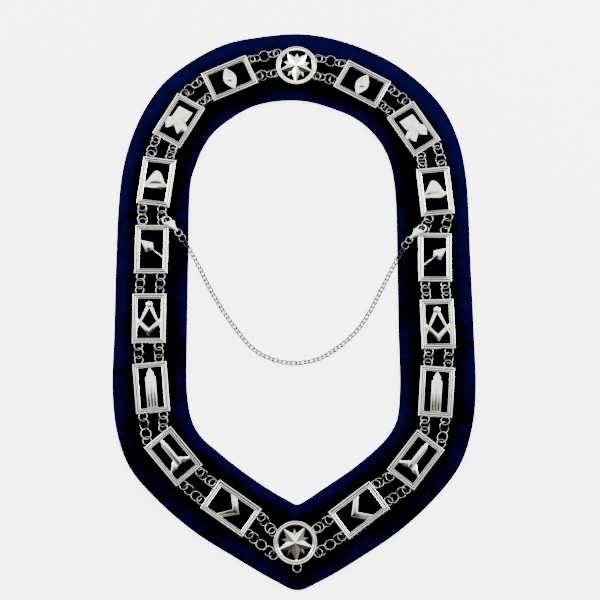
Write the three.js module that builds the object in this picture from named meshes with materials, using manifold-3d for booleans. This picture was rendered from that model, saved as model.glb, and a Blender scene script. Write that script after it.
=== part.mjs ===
// A chain collar of office, lying flat: a velvet band with pierced silver plaques linked
// by jump rings, two star medallions and a safety chain across the neck opening.
// Millimetres, +Z up, +Y towards the nape, the origin under the middle of the band.
import * as THREE from "three";
import * as BufferGeometryUtils from "three/addons/utils/BufferGeometryUtils.js";
import Module from "manifold-3d";

const wasm = await Module();
wasm.setup();

// Velvet band
const collarLength = 569;
const collarWidth = 356.5;
const bandThickness = 2.4;
const rimThickness = 3;
const edgeLift = 1.6;

// Plaques and their moulded frames
const plaqueLength = 50.4;
const plaqueWidth = 33.7;
const plaqueThickness = 3.4;
const frameBand = 5.7;
const ridgeWidth = 1.8;
const grooveWidth = 0.9;
const grooveDepth = 1.3;
const windowEdgeHeight = 1.7;
const emblemBottom = 0.4;
const emblemHeight = 2;

// Soldered loops and loose jump rings
const loopOuterDiameter = 9.5;
const loopWire = 1.4;
const loopSpacing = 20;
const loopReach = 3;
const ringOuterDiameter = 11.5;
const ringWire = 1;
const linkClearance = 0.3;
const seatGap = 0.3;

// Medallions
const medallionDiameter = 41.8;
const medallionBand = 4.3;
const starOverlap = 1.55;
const starHeight = 3.6;
const jewelLoopDiameter = 9.2;
const jewelLoopWire = 1;

// Safety chain and its clasps
const chainThickness = 4.4;
const endRingDiameter = 8.2;
const endRingWire = 0.9;
const claspLength = 20.5;
const claspThickness = 2.4;
const hookHoleDiameter = 7.6;
const hookWire = 1.3;
const leverThickness = 1.1;
const leverPin = 0.8;

const silver = new THREE.MeshStandardMaterial({ color: 0xd8d6d0, metalness: 1, roughness: 0.18 });
const velvet = new THREE.MeshStandardMaterial({ color: 0x080a2c, metalness: 0, roughness: 0.95 });

// Rows round the velvet band, clockwise from the nape. out and in are its two edges as
// shares of half the collar's width and length; lift says how far each edge rises.
const bandRows = [
  { outX: 0.011, outY: 0.997, inX: 0.011, inY: 0.738, outLift: 0, inLift: 0 },
  { outX: 0.175, outY: 0.985, inX: 0.095, inY: 0.731, outLift: 0, inLift: 0 },
  { outX: 0.365, outY: 0.948, inX: 0.228, inY: 0.704, outLift: 0.1, inLift: 0.2 },
  { outX: 0.556, outY: 0.889, inX: 0.343, inY: 0.67, outLift: 0.1, inLift: 0.4 },
  { outX: 0.729, outY: 0.803, inX: 0.44, inY: 0.618, outLift: 0.3, inLift: 0.4 },
  { outX: 0.86, outY: 0.703, inX: 0.506, inY: 0.559, outLift: 0.3, inLift: 0.4 },
  { outX: 0.942, outY: 0.581, inX: 0.544, inY: 0.498, outLift: 0.1, inLift: 0.5 },
  { outX: 0.974, outY: 0.47, inX: 0.563, inY: 0.432, outLift: 0, inLift: 0.3 },
  { outX: 0.985, outY: 0.366, inX: 0.573, inY: 0.355, outLift: 0, inLift: 0 },
  { outX: 0.99, outY: 0.144, inX: 0.576, inY: 0.144, outLift: 0.1, inLift: 0 },
  { outX: 0.998, outY: -0.108, inX: 0.577, inY: -0.108, outLift: 0.1, inLift: 0 },
  { outX: 1, outY: -0.328, inX: 0.579, inY: -0.328, outLift: 0.2, inLift: 0 },
  { outX: 0.976, outY: -0.45, inX: 0.559, inY: -0.427, outLift: 0.4, inLift: 0.3 },
  { outX: 0.911, outY: -0.573, inX: 0.517, inY: -0.477, outLift: 0.6, inLift: 0.4 },
  { outX: 0.803, outY: -0.667, inX: 0.438, inY: -0.53, outLift: 0.3, inLift: 0.4 },
  { outX: 0.594, outY: -0.792, inX: 0.3, inY: -0.6, outLift: 0, inLift: 0.3 },
  { outX: 0.348, outY: -0.897, inX: 0.162, inY: -0.658, outLift: 0, inLift: 0.2 },
  { outX: 0.137, outY: -0.973, inX: 0.062, inY: -0.7, outLift: 0, inLift: 0 },
  { outX: 0.013, outY: -1.003, inX: 0.011, inY: -0.715, outLift: 0, inLift: 0 },
  { outX: -0.103, outY: -0.973, inX: -0.034, inY: -0.702, outLift: 0.1, inLift: 0 },
  { outX: -0.299, outY: -0.903, inX: -0.145, inY: -0.662, outLift: 0.3, inLift: 0.1 },
  { outX: -0.554, outY: -0.804, inX: -0.298, inY: -0.596, outLift: 0.5, inLift: 0.2 },
  { outX: -0.778, outY: -0.683, inX: -0.433, inY: -0.529, outLift: 0.8, inLift: 0.3 },
  { outX: -0.902, outY: -0.591, inX: -0.513, inY: -0.484, outLift: 0.9, inLift: 0.3 },
  { outX: -0.974, outY: -0.478, inX: -0.563, inY: -0.431, outLift: 0.7, inLift: 0.1 },
  { outX: -1.008, outY: -0.328, inX: -0.594, inY: -0.338, outLift: 0.3, inLift: 0 },
  { outX: -1.008, outY: -0.108, inX: -0.601, inY: -0.108, outLift: 0.1, inLift: 0 },
  { outX: -1.009, outY: 0.144, inX: -0.601, inY: 0.144, outLift: 0.1, inLift: 0 },
  { outX: -1.003, outY: 0.355, inX: -0.601, inY: 0.355, outLift: 0.1, inLift: 0.1 },
  { outX: -0.987, outY: 0.471, inX: -0.592, inY: 0.439, outLift: 0, inLift: 0.3 },
  { outX: -0.948, outY: 0.581, inX: -0.568, inY: 0.49, outLift: 0, inLift: 0.4 },
  { outX: -0.879, outY: 0.693, inX: -0.532, inY: 0.552, outLift: 0, inLift: 0.3 },
  { outX: -0.764, outY: 0.806, inX: -0.471, inY: 0.613, outLift: 0, inLift: 0.3 },
  { outX: -0.6, outY: 0.892, inX: -0.369, inY: 0.669, outLift: 0, inLift: 0.3 },
  { outX: -0.405, outY: 0.958, inX: -0.245, inY: 0.715, outLift: 0, inLift: 0.1 },
  { outX: -0.194, outY: 0.986, inX: -0.114, inY: 0.735, outLift: 0, inLift: 0 },
];

// The band's cross-section from its outer edge to its inner one: across is a share of its
// width, height of the wall, rim of what the rim adds, and lift of the edge's own lift.
const bandSection = [
  { across: 0.09, height: 0, rim: 0, outLift: 0, inLift: 0 },
  { across: 0.012, height: 0, rim: 0, outLift: 1, inLift: 0 },
  { across: 0, height: 0.45, rim: 0.3, outLift: 1, inLift: 0 },
  { across: 0.022, height: 1, rim: 1, outLift: 1, inLift: 0 },
  { across: 0.1, height: 1, rim: 0, outLift: 0.1, inLift: 0 },
  { across: 0.9, height: 1, rim: 0, outLift: 0, inLift: 0.1 },
  { across: 0.978, height: 1, rim: 1, outLift: 0, inLift: 1 },
  { across: 1, height: 0.45, rim: 0.3, outLift: 0, inLift: 1 },
  { across: 0.988, height: 0, rim: 0, outLift: 0, inLift: 1 },
  { across: 0.91, height: 0, rim: 0, outLift: 0, inLift: 0 },
];

// Plaques from the nape to the breast: places as shares of half the collar's width and
// length, and the lean of their long axis in degrees, counterclockwise.
const plaqueRows = {
  left: [
    { x: -0.378, y: 0.819, lean: -66 },
    { x: -0.668, y: 0.657, lean: -30.2 },
    { x: -0.79, y: 0.427, lean: -7.3 },
    { x: -0.808, y: 0.178, lean: -0.4 },
    { x: -0.813, y: -0.071, lean: 0.1 },
    { x: -0.793, y: -0.316, lean: 5.5 },
    { x: -0.663, y: -0.554, lean: 40.2 },
    { x: -0.345, y: -0.731, lean: 55.2 },
  ],
  right: [
    { x: 0.387, y: 0.796, lean: 61 },
    { x: 0.68, y: 0.626, lean: 33 },
    { x: 0.797, y: 0.391, lean: 5.5 },
    { x: 0.787, y: 0.149, lean: -0.7 },
    { x: 0.795, y: -0.091, lean: 1.5 },
    { x: 0.781, y: -0.33, lean: -4.2 },
    { x: 0.659, y: -0.566, lean: -38 },
    { x: 0.347, y: -0.737, lean: -53.2 },
  ],
};

// The two medallions, with the bearing of each loop for the outer and inner strands
const medallionRows = {
  top: {
    x: 0.007, y: 0.868, starTurn: -3,
    loops: { left: { outer: 145, inner: 201 }, right: { outer: 19, inner: -29 } },
  },
  bottom: {
    x: 0.003, y: -0.846, starTurn: 4,
    loops: { left: { outer: 209, inner: 154 }, right: { outer: -23, inner: 33 } },
  },
};
const jewelLoopBearing = -86;

// The safety chain's route between its end rings, as shares of half the width and length
const chainRoute = [
  [-0.569, 0.15], [-0.535, 0.111], [-0.477, 0.037], [-0.42, -0.024], [-0.363, -0.078], [-0.306, -0.126],
  [-0.25, -0.167], [-0.194, -0.194], [-0.138, -0.211], [-0.082, -0.222], [-0.027, -0.227], [0.029, -0.227],
  [0.084, -0.221], [0.14, -0.21], [0.196, -0.191], [0.251, -0.167], [0.307, -0.137], [0.364, -0.098],
  [0.421, -0.042], [0.458, 0.002], [0.501, 0.054], [0.544, 0.107],
];
// How each clasp lies: bearings from the hooked ring to the middle of the hook and from there
// to the tail, its roll and the fall of its tail in degrees, and its height over the loops
const claspRows = {
  left: { hook: -46, tail: -46, roll: 22, fall: 1, lift: 1.7 },
  right: { hook: -138, tail: -138, roll: 26, fall: 0, lift: 2.1 },
};

// Sizes that follow
const halfWidth = collarWidth / 2;
const halfLength = collarLength / 2;
const loopRadius = (loopOuterDiameter - loopWire) / 2;
const ringRadius = (ringOuterDiameter - ringWire) / 2;
const meanWire = (loopWire + ringWire) / 2;
const endPitch = loopRadius + ringRadius - meanWire - 2.4 * linkClearance;
const solderedPitch = (radius, wire) => 2 * radius - 0.75 * wire;
const ringPitch = solderedPitch(ringRadius, ringWire);

// The large star's tips run into the medallion's ring, which carries it and the small star
const starTipRadius = medallionDiameter / 2 - medallionBand + starOverlap;
const starValleyRadius = 0.432 * starTipRadius;
const smallStarRadius = 0.757 * starTipRadius;

// How steeply a jump ring lies so that it passes over and under the wire of a flat loop
const crossing = (endPitch ** 2 + loopRadius ** 2 - ringRadius ** 2) / (2 * endPitch);
const crossingReach = Math.sqrt(loopRadius ** 2 - crossing ** 2);
const ringTilt = Math.asin((meanWire + 0.65 * linkClearance) / crossingReach);
const ringDrop = ringRadius * Math.sin(ringTilt) + ringWire / 2;
const loopInset = 0.3;
const room = Math.max(plaqueThickness, ringDrop + loopWire / 2 + loopInset - 0.5 * seatGap);
const plaqueTop = bandThickness + seatGap + room;
const plaqueSeat = plaqueTop - plaqueThickness;
const loopPlane = plaqueTop - loopInset - loopWire / 2;
const ringSides = 10;
const wireSides = 5;

const degrees = THREE.MathUtils.degToRad;

// Solids: closed geometry to manifold and back
function toManifold(geometry, matrix = new THREE.Matrix4()) {
  const bare = geometry.clone();
  bare.deleteAttribute("normal");
  bare.deleteAttribute("uv");
  bare.applyMatrix4(matrix);
  const merged = BufferGeometryUtils.mergeVertices(bare, 1e-4);
  const mesh = new wasm.Mesh({
    numProp: 3,
    vertProperties: new Float32Array(merged.attributes.position.array),
    triVerts: new Uint32Array(merged.index.array),
  });
  return new wasm.Manifold(mesh);
}

function toGeometry(solid) {
  const { vertProperties, triVerts } = solid.getMesh();
  const geometry = new THREE.BufferGeometry();
  geometry.setAttribute("position", new THREE.BufferAttribute(vertProperties, 3));
  geometry.setIndex(new THREE.BufferAttribute(triVerts, 1));
  geometry.computeVertexNormals();
  return geometry;
}

function join(solids) {
  return solids.reduce((sum, solid) => sum.add(solid));
}

function piece(name, geometry, material) {
  const mesh = new THREE.Mesh(geometry, material);
  mesh.name = name;
  return mesh;
}

function moved(x, y, z, turn = 0) {
  return new THREE.Matrix4().makeRotationZ(turn).setPosition(x, y, z);
}

function outlineShape(points) {
  return new THREE.Shape(points.map(([x, y]) => new THREE.Vector2(x, y)));
}

function plate(shape, height, bottom = 0, segments = 8) {
  const geometry = new THREE.ExtrudeGeometry(shape, {
    depth: height, bevelEnabled: false, curveSegments: segments,
  });
  geometry.translate(0, 0, bottom);
  return geometry;
}

function ringSolid(radius, wire, matrix) {
  return toManifold(new THREE.TorusGeometry(radius, wire / 2, wireSides, ringSides), matrix);
}

function wireSection(wire, sides = wireSides) {
  const corners = [];
  for (let corner = 0; corner < sides; corner += 1) {
    const bearing = 2 * Math.PI * (corner + 0.5) / sides;
    corners.push([wire / 2 * Math.cos(bearing), wire / 2 * Math.sin(bearing)]);
  }
  return outlineShape(corners);
}

// A soldered loop opens towards -Y, where both ends of its wire run into what holds it
function loopSolid(radius, wire, reach, matrix) {
  const opening = Math.asin(Math.min(reach / radius, 1)) + 0.12;
  const steps = Math.round(ringSides * 0.8);
  const points = [];
  for (let step = 0; step <= steps; step += 1) {
    const bearing = -opening + (Math.PI + 2 * opening) * step / steps;
    points.push(new THREE.Vector3(radius * Math.cos(bearing), radius * Math.sin(bearing), 0));
  }
  const path = new THREE.CatmullRomCurve3(points);
  const geometry = new THREE.ExtrudeGeometry(wireSection(wire), { steps, extrudePath: path });
  return toManifold(geometry, matrix);
}

// The velvet band: its cross-section carried round the rows of its two edges
function bandGeometry() {
  const steps = bandRows.length * 1.5;
  const closedCurve = (xKey, yKey) => {
    const points = bandRows.map((row) => {
      return new THREE.Vector3(row[xKey] * halfWidth, row[yKey] * halfLength, 0);
    });
    return new THREE.CatmullRomCurve3(points, true, "centripetal");
  };
  const liftCurve = new THREE.CatmullRomCurve3(
    bandRows.map((row) => new THREE.Vector3(row.outLift, row.inLift, 0)), true, "centripetal");
  const outer = closedCurve("outX", "outY");
  const inner = closedCurve("inX", "inY");
  const positions = [];
  for (let step = 0; step < steps; step += 1) {
    const outPoint = outer.getPoint(step / steps);
    const inPoint = inner.getPoint(step / steps);
    const lift = liftCurve.getPoint(step / steps);
    for (const corner of bandSection) {
      const point = outPoint.clone().lerp(inPoint, corner.across);
      const wall = corner.height * bandThickness + corner.rim * (rimThickness - bandThickness);
      const rise = edgeLift * (Math.max(lift.x, 0) * corner.outLift + Math.max(lift.y, 0) * corner.inLift);
      positions.push(point.x, point.y, wall + rise);
    }
  }
  const around = bandSection.length;
  const index = [];
  for (let step = 0; step < steps; step += 1) {
    const next = (step + 1) % steps;
    for (let corner = 0; corner < around; corner += 1) {
      const beside = (corner + 1) % around;
      const a = step * around + corner;
      const b = step * around + beside;
      const c = next * around + beside;
      const d = next * around + corner;
      index.push(a, b, c, a, c, d);
    }
  }
  const geometry = new THREE.BufferGeometry();
  geometry.setAttribute("position", new THREE.Float32BufferAttribute(positions, 3));
  geometry.setIndex(index);
  geometry.computeVertexNormals();
  return geometry;
}

// The plaque's frame: a mitred moulding with two ridges, a groove and a slope to the window
const frameProfile = [
  { inset: 0, height: 0 },
  { inset: 0, height: plaqueThickness - 0.5 * loopInset },
  { inset: 0.2 * ridgeWidth, height: plaqueThickness },
  { inset: ridgeWidth, height: plaqueThickness },
  { inset: ridgeWidth + 0.5 * grooveWidth, height: plaqueThickness - grooveDepth },
  { inset: ridgeWidth + grooveWidth, height: plaqueThickness },
  { inset: 2 * ridgeWidth + grooveWidth, height: plaqueThickness },
  { inset: frameBand, height: windowEdgeHeight },
  { inset: frameBand, height: 0 },
];

function frameGeometry() {
  const corners = [[1, 1], [-1, 1], [-1, -1], [1, -1]];
  const positions = [];
  for (const [sideX, sideY] of corners) {
    for (const { inset, height } of frameProfile) {
      positions.push(sideX * (plaqueWidth / 2 - inset), sideY * (plaqueLength / 2 - inset), height);
    }
  }
  const count = frameProfile.length;
  const index = [];
  for (let corner = 0; corner < 4; corner += 1) {
    for (let row = 0; row < count; row += 1) {
      const beside = (row + 1) % count;
      const next = ((corner + 1) % 4) * count;
      const here = corner * count;
      index.push(here + row, next + row, next + beside, here + row, next + beside, here + beside);
    }
  }
  const geometry = new THREE.BufferGeometry();
  geometry.setAttribute("position", new THREE.Float32BufferAttribute(positions, 3));
  geometry.setIndex(index);
  return geometry;
}

// Emblems. Points are shares of the window's half width and half height, x to the right
// and y to the nape; overlap carries an arm under the frame's inner slope.
const windowX = plaqueWidth / 2 - frameBand;
const windowY = plaqueLength / 2 - frameBand;
const overlap = 1.06;

function windowOutline(points) {
  return outlineShape(points.map(([x, y]) => [x * windowX, y * windowY]));
}

function emblemPlate(points, heightShare = 1) {
  return plate(windowOutline(points), emblemHeight * heightShare, emblemBottom);
}

function disc(x, y, radius, heightShare = 1, sides = 12) {
  const geometry = new THREE.CylinderGeometry(radius, radius, emblemHeight * heightShare, sides);
  geometry.rotateX(Math.PI / 2);
  geometry.translate(x * windowX, y * windowY, emblemBottom + emblemHeight * heightShare / 2);
  return geometry;
}

function eyeEmblem() {
  const lids = [];
  const steps = 5;
  for (let step = 0; step <= steps; step += 1) {
    const across = -overlap + 2 * overlap * step / steps;
    lids.push([across, 0.34 * Math.cos(across * Math.PI / 2 * 0.9)]);
  }
  for (let step = steps; step >= 0; step -= 1) {
    const across = -overlap + 2 * overlap * step / steps;
    lids.push([across, -0.34 * Math.cos(across * Math.PI / 2 * 0.9)]);
  }
  return [emblemPlate(lids, 0.8), disc(0, 0, 0.3 * windowX, 1.15, 10)];
}

function tabletEmblem() {
  const tablet = [[-0.78, -0.1], [-0.73, 0.71], [0.69, 0.73], [0.6, -0.1]];
  const ribbon = [
    [-overlap, -0.14], [-0.8, 0.05], [0, 0], [0.62, 0.05], [overlap, -0.14], [overlap, -0.34],
    [0.5, -0.66], [-0.06, -0.38], [-0.72, -0.66], [-overlap, -0.34],
  ];
  return [emblemPlate(tablet, 0.8), emblemPlate(ribbon)];
}

function domeEmblem() {
  const dome = [
    [-0.96, -0.15], [-0.76, 0.1], [-0.46, 0.42], [-0.24, 0.58], [-0.12, 0.61], [0.02, 0.6], [0.2, 0.54],
    [0.44, 0.36], [0.62, 0.14], [0.8, -0.12],
  ];
  const hull = [
    [-overlap, -0.34], [0.54, -0.38], [overlap, -0.16], [overlap, -0.06], [0.7, -0.12], [-overlap, -0.18],
  ];
  return [emblemPlate(dome.reverse(), 0.9), emblemPlate(hull, 1.1)];
}

function trowelEmblem() {
  const blade = [[-overlap, 0.51], [0.08, 0.37], [0.16, 0.01], [-0.52, -0.14]];
  const handle = [[0.1, 0.04], [overlap, -0.36], [overlap, -0.49], [0, -0.06]];
  return [emblemPlate(blade, 0.9), emblemPlate(handle)];
}

function compassesEmblem() {
  const leg = [[0.06, 0.66], [0.3, 0.62], [1.22, -0.66], [1.14, -0.68], [0.02, 0.5]];
  const otherLeg = leg.map(([x, y]) => [-x, y]).reverse();
  const square = [
    [-overlap, 0.06], [0, -0.52], [overlap, 0.06], [overlap, -0.18], [0, -0.89], [-overlap, -0.18],
  ];
  return [
    emblemPlate(leg), emblemPlate(otherLeg), emblemPlate(square, 0.8),
    disc(0, 0.73, 0.3 * windowX, 1.1, 10),
  ];
}

function pillarEmblem() {
  const shaft = [[-0.48, -overlap], [0.48, -overlap], [0.48, 0.52], [0.32, 0.56], [0.32, 0.74], [0, overlap],
    [-0.32, 0.74], [-0.32, 0.56], [-0.48, 0.52]];
  const ridge = [[-0.3, -0.94], [0.3, -0.94], [0.3, 0.62], [0, 0.84], [-0.3, 0.62]];
  return [emblemPlate(shaft, 0.8), emblemPlate(ridge, 1.1)];
}

function penEmblem() {
  const rod = [[-0.2, -0.52], [0.2, -0.52], [0.3, -0.27], [0.3, 0.74], [0.14, overlap], [-0.04, overlap],
    [-0.22, 0.74], [-0.22, -0.27]];
  const wing = [
    [0.2, -0.16], [0.42, -0.2], [0.7, -0.36], [overlap, -0.52], [overlap, -0.62], [0.46, -0.61], [0.14, -0.46],
  ];
  const otherWing = wing.map(([x, y]) => [-x, y]).reverse();
  return [emblemPlate(rod, 1.1), emblemPlate(wing, 0.8), emblemPlate(otherWing, 0.8)];
}

function squareEmblem() {
  const rule = [
    [0, -0.5], [1.12, 0.08], [1.12, 0.48], [0.03, -0.09], [-1.12, 0.5], [-1.12, 0.16], [-0.12, -0.4],
  ];
  return [emblemPlate(rule, 0.9)];
}

const emblems = [
  { make: eyeEmblem, mirrored: true },
  { make: tabletEmblem, mirrored: true },
  { make: domeEmblem, mirrored: false },
  { make: trowelEmblem, mirrored: true },
  { make: compassesEmblem, mirrored: true },
  { make: pillarEmblem, mirrored: true },
  { make: penEmblem, mirrored: true },
  { make: squareEmblem, mirrored: false },
];

function plaqueSolid(number, side) {
  const { make, mirrored } = emblems[number - 1];
  let emblem = join(make().map((geometry) => toManifold(geometry)));
  if (mirrored && side === "right") {
    emblem = emblem.mirror([1, 0, 0]);
  }
  const frame = toManifold(frameGeometry());
  const loops = [];
  for (const across of [-1, 1]) {
    for (const end of [-1, 1]) {
      const turn = end > 0 ? 0 : Math.PI;
      const y = end * (plaqueLength / 2 + loopReach);
      const matrix = moved(across * loopSpacing / 2, y, loopPlane - plaqueSeat, turn);
      loops.push(loopSolid(loopRadius, loopWire, loopReach, matrix));
    }
  }
  return join([frame, emblem, ...loops]);
}

function plaqueMatrix(side, number) {
  const row = plaqueRows[side][number - 1];
  return moved(row.x * halfWidth, row.y * halfLength, plaqueSeat, degrees(row.lean));
}

// Where a plaque's loop stands: across is "outer" or "inner", end is 1 at the nape's end
function plaqueLoop(side, number, strand, end) {
  const outward = side === "left" ? -1 : 1;
  const across = strand === "outer" ? outward : -outward;
  const point = new THREE.Vector3(across * loopSpacing / 2, end * (plaqueLength / 2 + loopReach), 0);
  point.applyMatrix4(plaqueMatrix(side, number));
  return point.setZ(loopPlane);
}

function medallionLoop(which, side, strand) {
  const row = medallionRows[which];
  const bearing = degrees(row.loops[side][strand]);
  const reach = medallionDiameter / 2 + loopReach;
  const x = row.x * halfWidth + reach * Math.cos(bearing);
  const y = row.y * halfLength + reach * Math.sin(bearing);
  return new THREE.Vector3(x, y, loopPlane);
}

// Medallions
function starGeometry(tipRadius, valleyRadius, height, turn) {
  const positions = [];
  const points = 10;
  for (let point = 0; point < points; point += 1) {
    const radius = point % 2 === 0 ? tipRadius : valleyRadius;
    const bearing = turn + Math.PI * 2 * point / points;
    positions.push(radius * Math.cos(bearing), radius * Math.sin(bearing), emblemBottom);
    positions.push(radius * Math.cos(bearing), radius * Math.sin(bearing), emblemBottom + 0.25 * height);
  }
  positions.push(0, 0, emblemBottom, 0, 0, height);
  const index = [];
  for (let point = 0; point < points; point += 1) {
    const next = (point + 1) % points;
    const [low, high, nextLow, nextHigh] = [2 * point, 2 * point + 1, 2 * next, 2 * next + 1];
    index.push(low, nextLow, nextHigh, low, nextHigh, high);
    index.push(high, nextHigh, 2 * points + 1, nextLow, low, 2 * points);
  }
  const geometry = new THREE.BufferGeometry();
  geometry.setAttribute("position", new THREE.Float32BufferAttribute(positions, 3));
  geometry.setIndex(index);
  return geometry;
}

function medallionFrame() {
  const outer = medallionDiameter / 2;
  const profile = [
    [outer - medallionBand, 0], [outer, 0], [outer, plaqueThickness - 0.5 * loopInset],
    [outer - 0.15 * medallionBand, plaqueThickness], [outer - 0.42 * medallionBand, plaqueThickness],
    [outer - 0.5 * medallionBand, plaqueThickness - 0.6 * grooveDepth],
    [outer - 0.58 * medallionBand, plaqueThickness], [outer - medallionBand, 0.7 * plaqueThickness],
    [outer - medallionBand, 0],
  ];
  const geometry = new THREE.LatheGeometry(profile.map(([x, y]) => new THREE.Vector2(x, y)), 24);
  geometry.rotateX(Math.PI / 2);
  return geometry;
}

function medallionSolid(which) {
  const row = medallionRows[which];
  const height = loopPlane - plaqueSeat;
  const down = degrees(-90 + row.starTurn);
  const tenth = Math.PI / 5;
  const solids = [
    toManifold(medallionFrame()),
    toManifold(starGeometry(starTipRadius, starValleyRadius, starHeight, down)),
    toManifold(starGeometry(smallStarRadius, 0.5 * smallStarRadius, 0.6 * starHeight, down + tenth)),
  ];
  for (const side of ["left", "right"]) {
    for (const strand of ["outer", "inner"]) {
      const bearing = degrees(row.loops[side][strand]);
      const reach = medallionDiameter / 2 + loopReach;
      const turn = bearing - Math.PI / 2;
      const matrix = moved(reach * Math.cos(bearing), reach * Math.sin(bearing), height, turn);
      solids.push(loopSolid(loopRadius, loopWire, 1.05 * loopReach, matrix));
    }
  }
  if (which === "bottom") {
    const radius = (jewelLoopDiameter - jewelLoopWire) / 2;
    const reach = medallionDiameter / 2 + 0.62 * radius;
    const bearing = degrees(jewelLoopBearing);
    const turn = bearing - Math.PI / 2;
    const matrix = moved(reach * Math.cos(bearing), reach * Math.sin(bearing), height, turn);
    solids.push(loopSolid(radius, jewelLoopWire, 0.68 * radius, matrix));
  }
  return join(solids);
}

// Strands of jump rings between two loops. The rings tilt in turn to either side of the
// strand's line, and turned is 1 where the first ring's left edge stands up.
function strandRings(from, to, turned) {
  const span = from.distanceTo(to);
  const count = Math.max(1, Math.ceil((span - 2 * endPitch) / ringPitch) + 1);
  const start = (span - (count - 1) * ringPitch) / 2;
  const along = to.clone().sub(from).normalize();
  const rings = [];
  for (let ring = 0; ring < count; ring += 1) {
    const tilt = (ring % 2 === 0 ? 1 : -1) * turned * ringTilt;
    const centre = from.clone().addScaledVector(along, start + ring * ringPitch);
    const matrix = new THREE.Matrix4().makeRotationAxis(along, tilt).setPosition(centre);
    rings.push({ centre, matrix });
  }
  return rings;
}

function gapEnds(side, gap, strand) {
  const from = gap === 1 ? medallionLoop("top", side, strand) : plaqueLoop(side, gap - 1, strand, -1);
  const to = gap === 9 ? medallionLoop("bottom", side, strand) : plaqueLoop(side, gap, strand, 1);
  return [from, to];
}

// Rings tilt up towards the neck opening
function strandFor(side, gap, strand) {
  const turned = side === "left" ? 1 : -1;
  return strandRings(...gapEnds(side, gap, strand), turned);
}

// Clasps: x runs from the middle of the hook to the tail, z out of the clasp's face
const hookRadius = (hookHoleDiameter + hookWire) / 2;
const tailReach = claspLength - hookRadius - hookWire / 2;
const tailKnob = 1.7;
const pinSides = 16;
const pinPlace = { x: 0.36 * tailReach, y: 0.5 * hookRadius };
const slotHeight = leverThickness + 2 * linkClearance;
const tailHoleRadius = endRingWire / 2 + 1.4 * linkClearance;

function hookGeometry() {
  const arc = new THREE.EllipseCurve(0, 0, hookRadius, hookRadius, degrees(104), degrees(322));
  const points = arc.getPoints(9).map((point) => new THREE.Vector3(point.x, point.y, 0));
  const path = new THREE.CatmullRomCurve3(points);
  const section = new THREE.Shape();
  section.absarc(0, 0, hookWire / 2, 0, Math.PI * 2);
  return new THREE.ExtrudeGeometry(section, { steps: 9, curveSegments: 3, extrudePath: path });
}

function claspBodySolid() {
  const tail = tailReach - tailKnob;
  const outline = [
    [0.16 * tailReach, 0.62 * hookRadius], [0.3 * tailReach, 1.02 * hookRadius],
    [0.5 * tailReach, 0.84 * hookRadius], [tail, 0.56 * tailKnob],
    [tailReach - 0.3 * tailKnob, 0.5 * tailKnob], [tailReach, 0],
    [tailReach - 0.3 * tailKnob, -0.5 * tailKnob], [tail, -0.56 * tailKnob],
    [0.5 * tailReach, -0.84 * hookRadius], [0.27 * tailReach, -1.06 * hookRadius],
    [0.1 * tailReach, -1.12 * hookRadius], [0.1 * tailReach, -0.7 * hookRadius],
  ];
  const body = toManifold(plate(outlineShape(outline), claspThickness, -claspThickness / 2));
  const hole = new THREE.CylinderGeometry(hookHoleDiameter / 2, hookHoleDiameter / 2, 2 * claspThickness, 16);
  hole.rotateX(Math.PI / 2);
  const slot = new THREE.BoxGeometry(0.5 * tailReach, 2 * hookRadius, slotHeight);
  slot.translate(0.3 * tailReach, pinPlace.y - 1.6 + hookRadius, 0);
  const tailHole = new THREE.CylinderGeometry(tailHoleRadius, tailHoleRadius, 4 * tailKnob, 8);
  tailHole.translate(tailReach - tailKnob, 0, 0);
  const pin = new THREE.CylinderGeometry(leverPin / 2, leverPin / 2, claspThickness - 0.4, pinSides);
  pin.rotateX(Math.PI / 2);
  pin.translate(pinPlace.x, pinPlace.y, 0);
  return body
    .subtract(toManifold(hole))
    .subtract(toManifold(slot))
    .subtract(toManifold(tailHole))
    .add(toManifold(hookGeometry()))
    .add(toManifold(pin));
}

// The lever, drawn about its pin: an eye, a gate that closes the hook and a thumb tab
const leverEyeRadius = 1.25;
const leverBoreGap = 0.2;

function gatePoint([bearing, share]) {
  const reach = share * hookRadius;
  return [
    reach * Math.cos(degrees(bearing)) - pinPlace.x,
    reach * Math.sin(degrees(bearing)) - pinPlace.y,
  ];
}

function leverSolid() {
  const gate = [
    ...[[96, 0.84], [91, 1.14], [80, 1.14], [62, 1.14], [46, 1.1]].map(gatePoint),
    [0.2, 0.9 * leverEyeRadius], [-0.9 * leverEyeRadius, 0],
    ...[[60, 0.86], [80, 0.84]].map(gatePoint),
  ];
  const tabOutline = [[-0.8, 0.32], [0.72, 0.32], [0.72, 2.48], [0.08, 2.8], [-0.56, 2.56]]
    .map(([x, y]) => [x * leverEyeRadius, y * leverEyeRadius]);
  const gatePlate = plate(outlineShape(gate.reverse()), leverThickness, -leverThickness / 2);
  const tab = plate(outlineShape(tabOutline), leverThickness, -leverThickness / 2);
  const eye = new THREE.CylinderGeometry(leverEyeRadius, leverEyeRadius, leverThickness, 12);
  eye.rotateX(Math.PI / 2);
  const boreRadius = leverPin / 2 + leverBoreGap;
  const bore = new THREE.CylinderGeometry(boreRadius, boreRadius, 2 * leverThickness, pinSides);
  bore.rotateX(Math.PI / 2);
  return join([toManifold(gatePlate), toManifold(tab), toManifold(eye)]).subtract(toManifold(bore));
}

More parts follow.
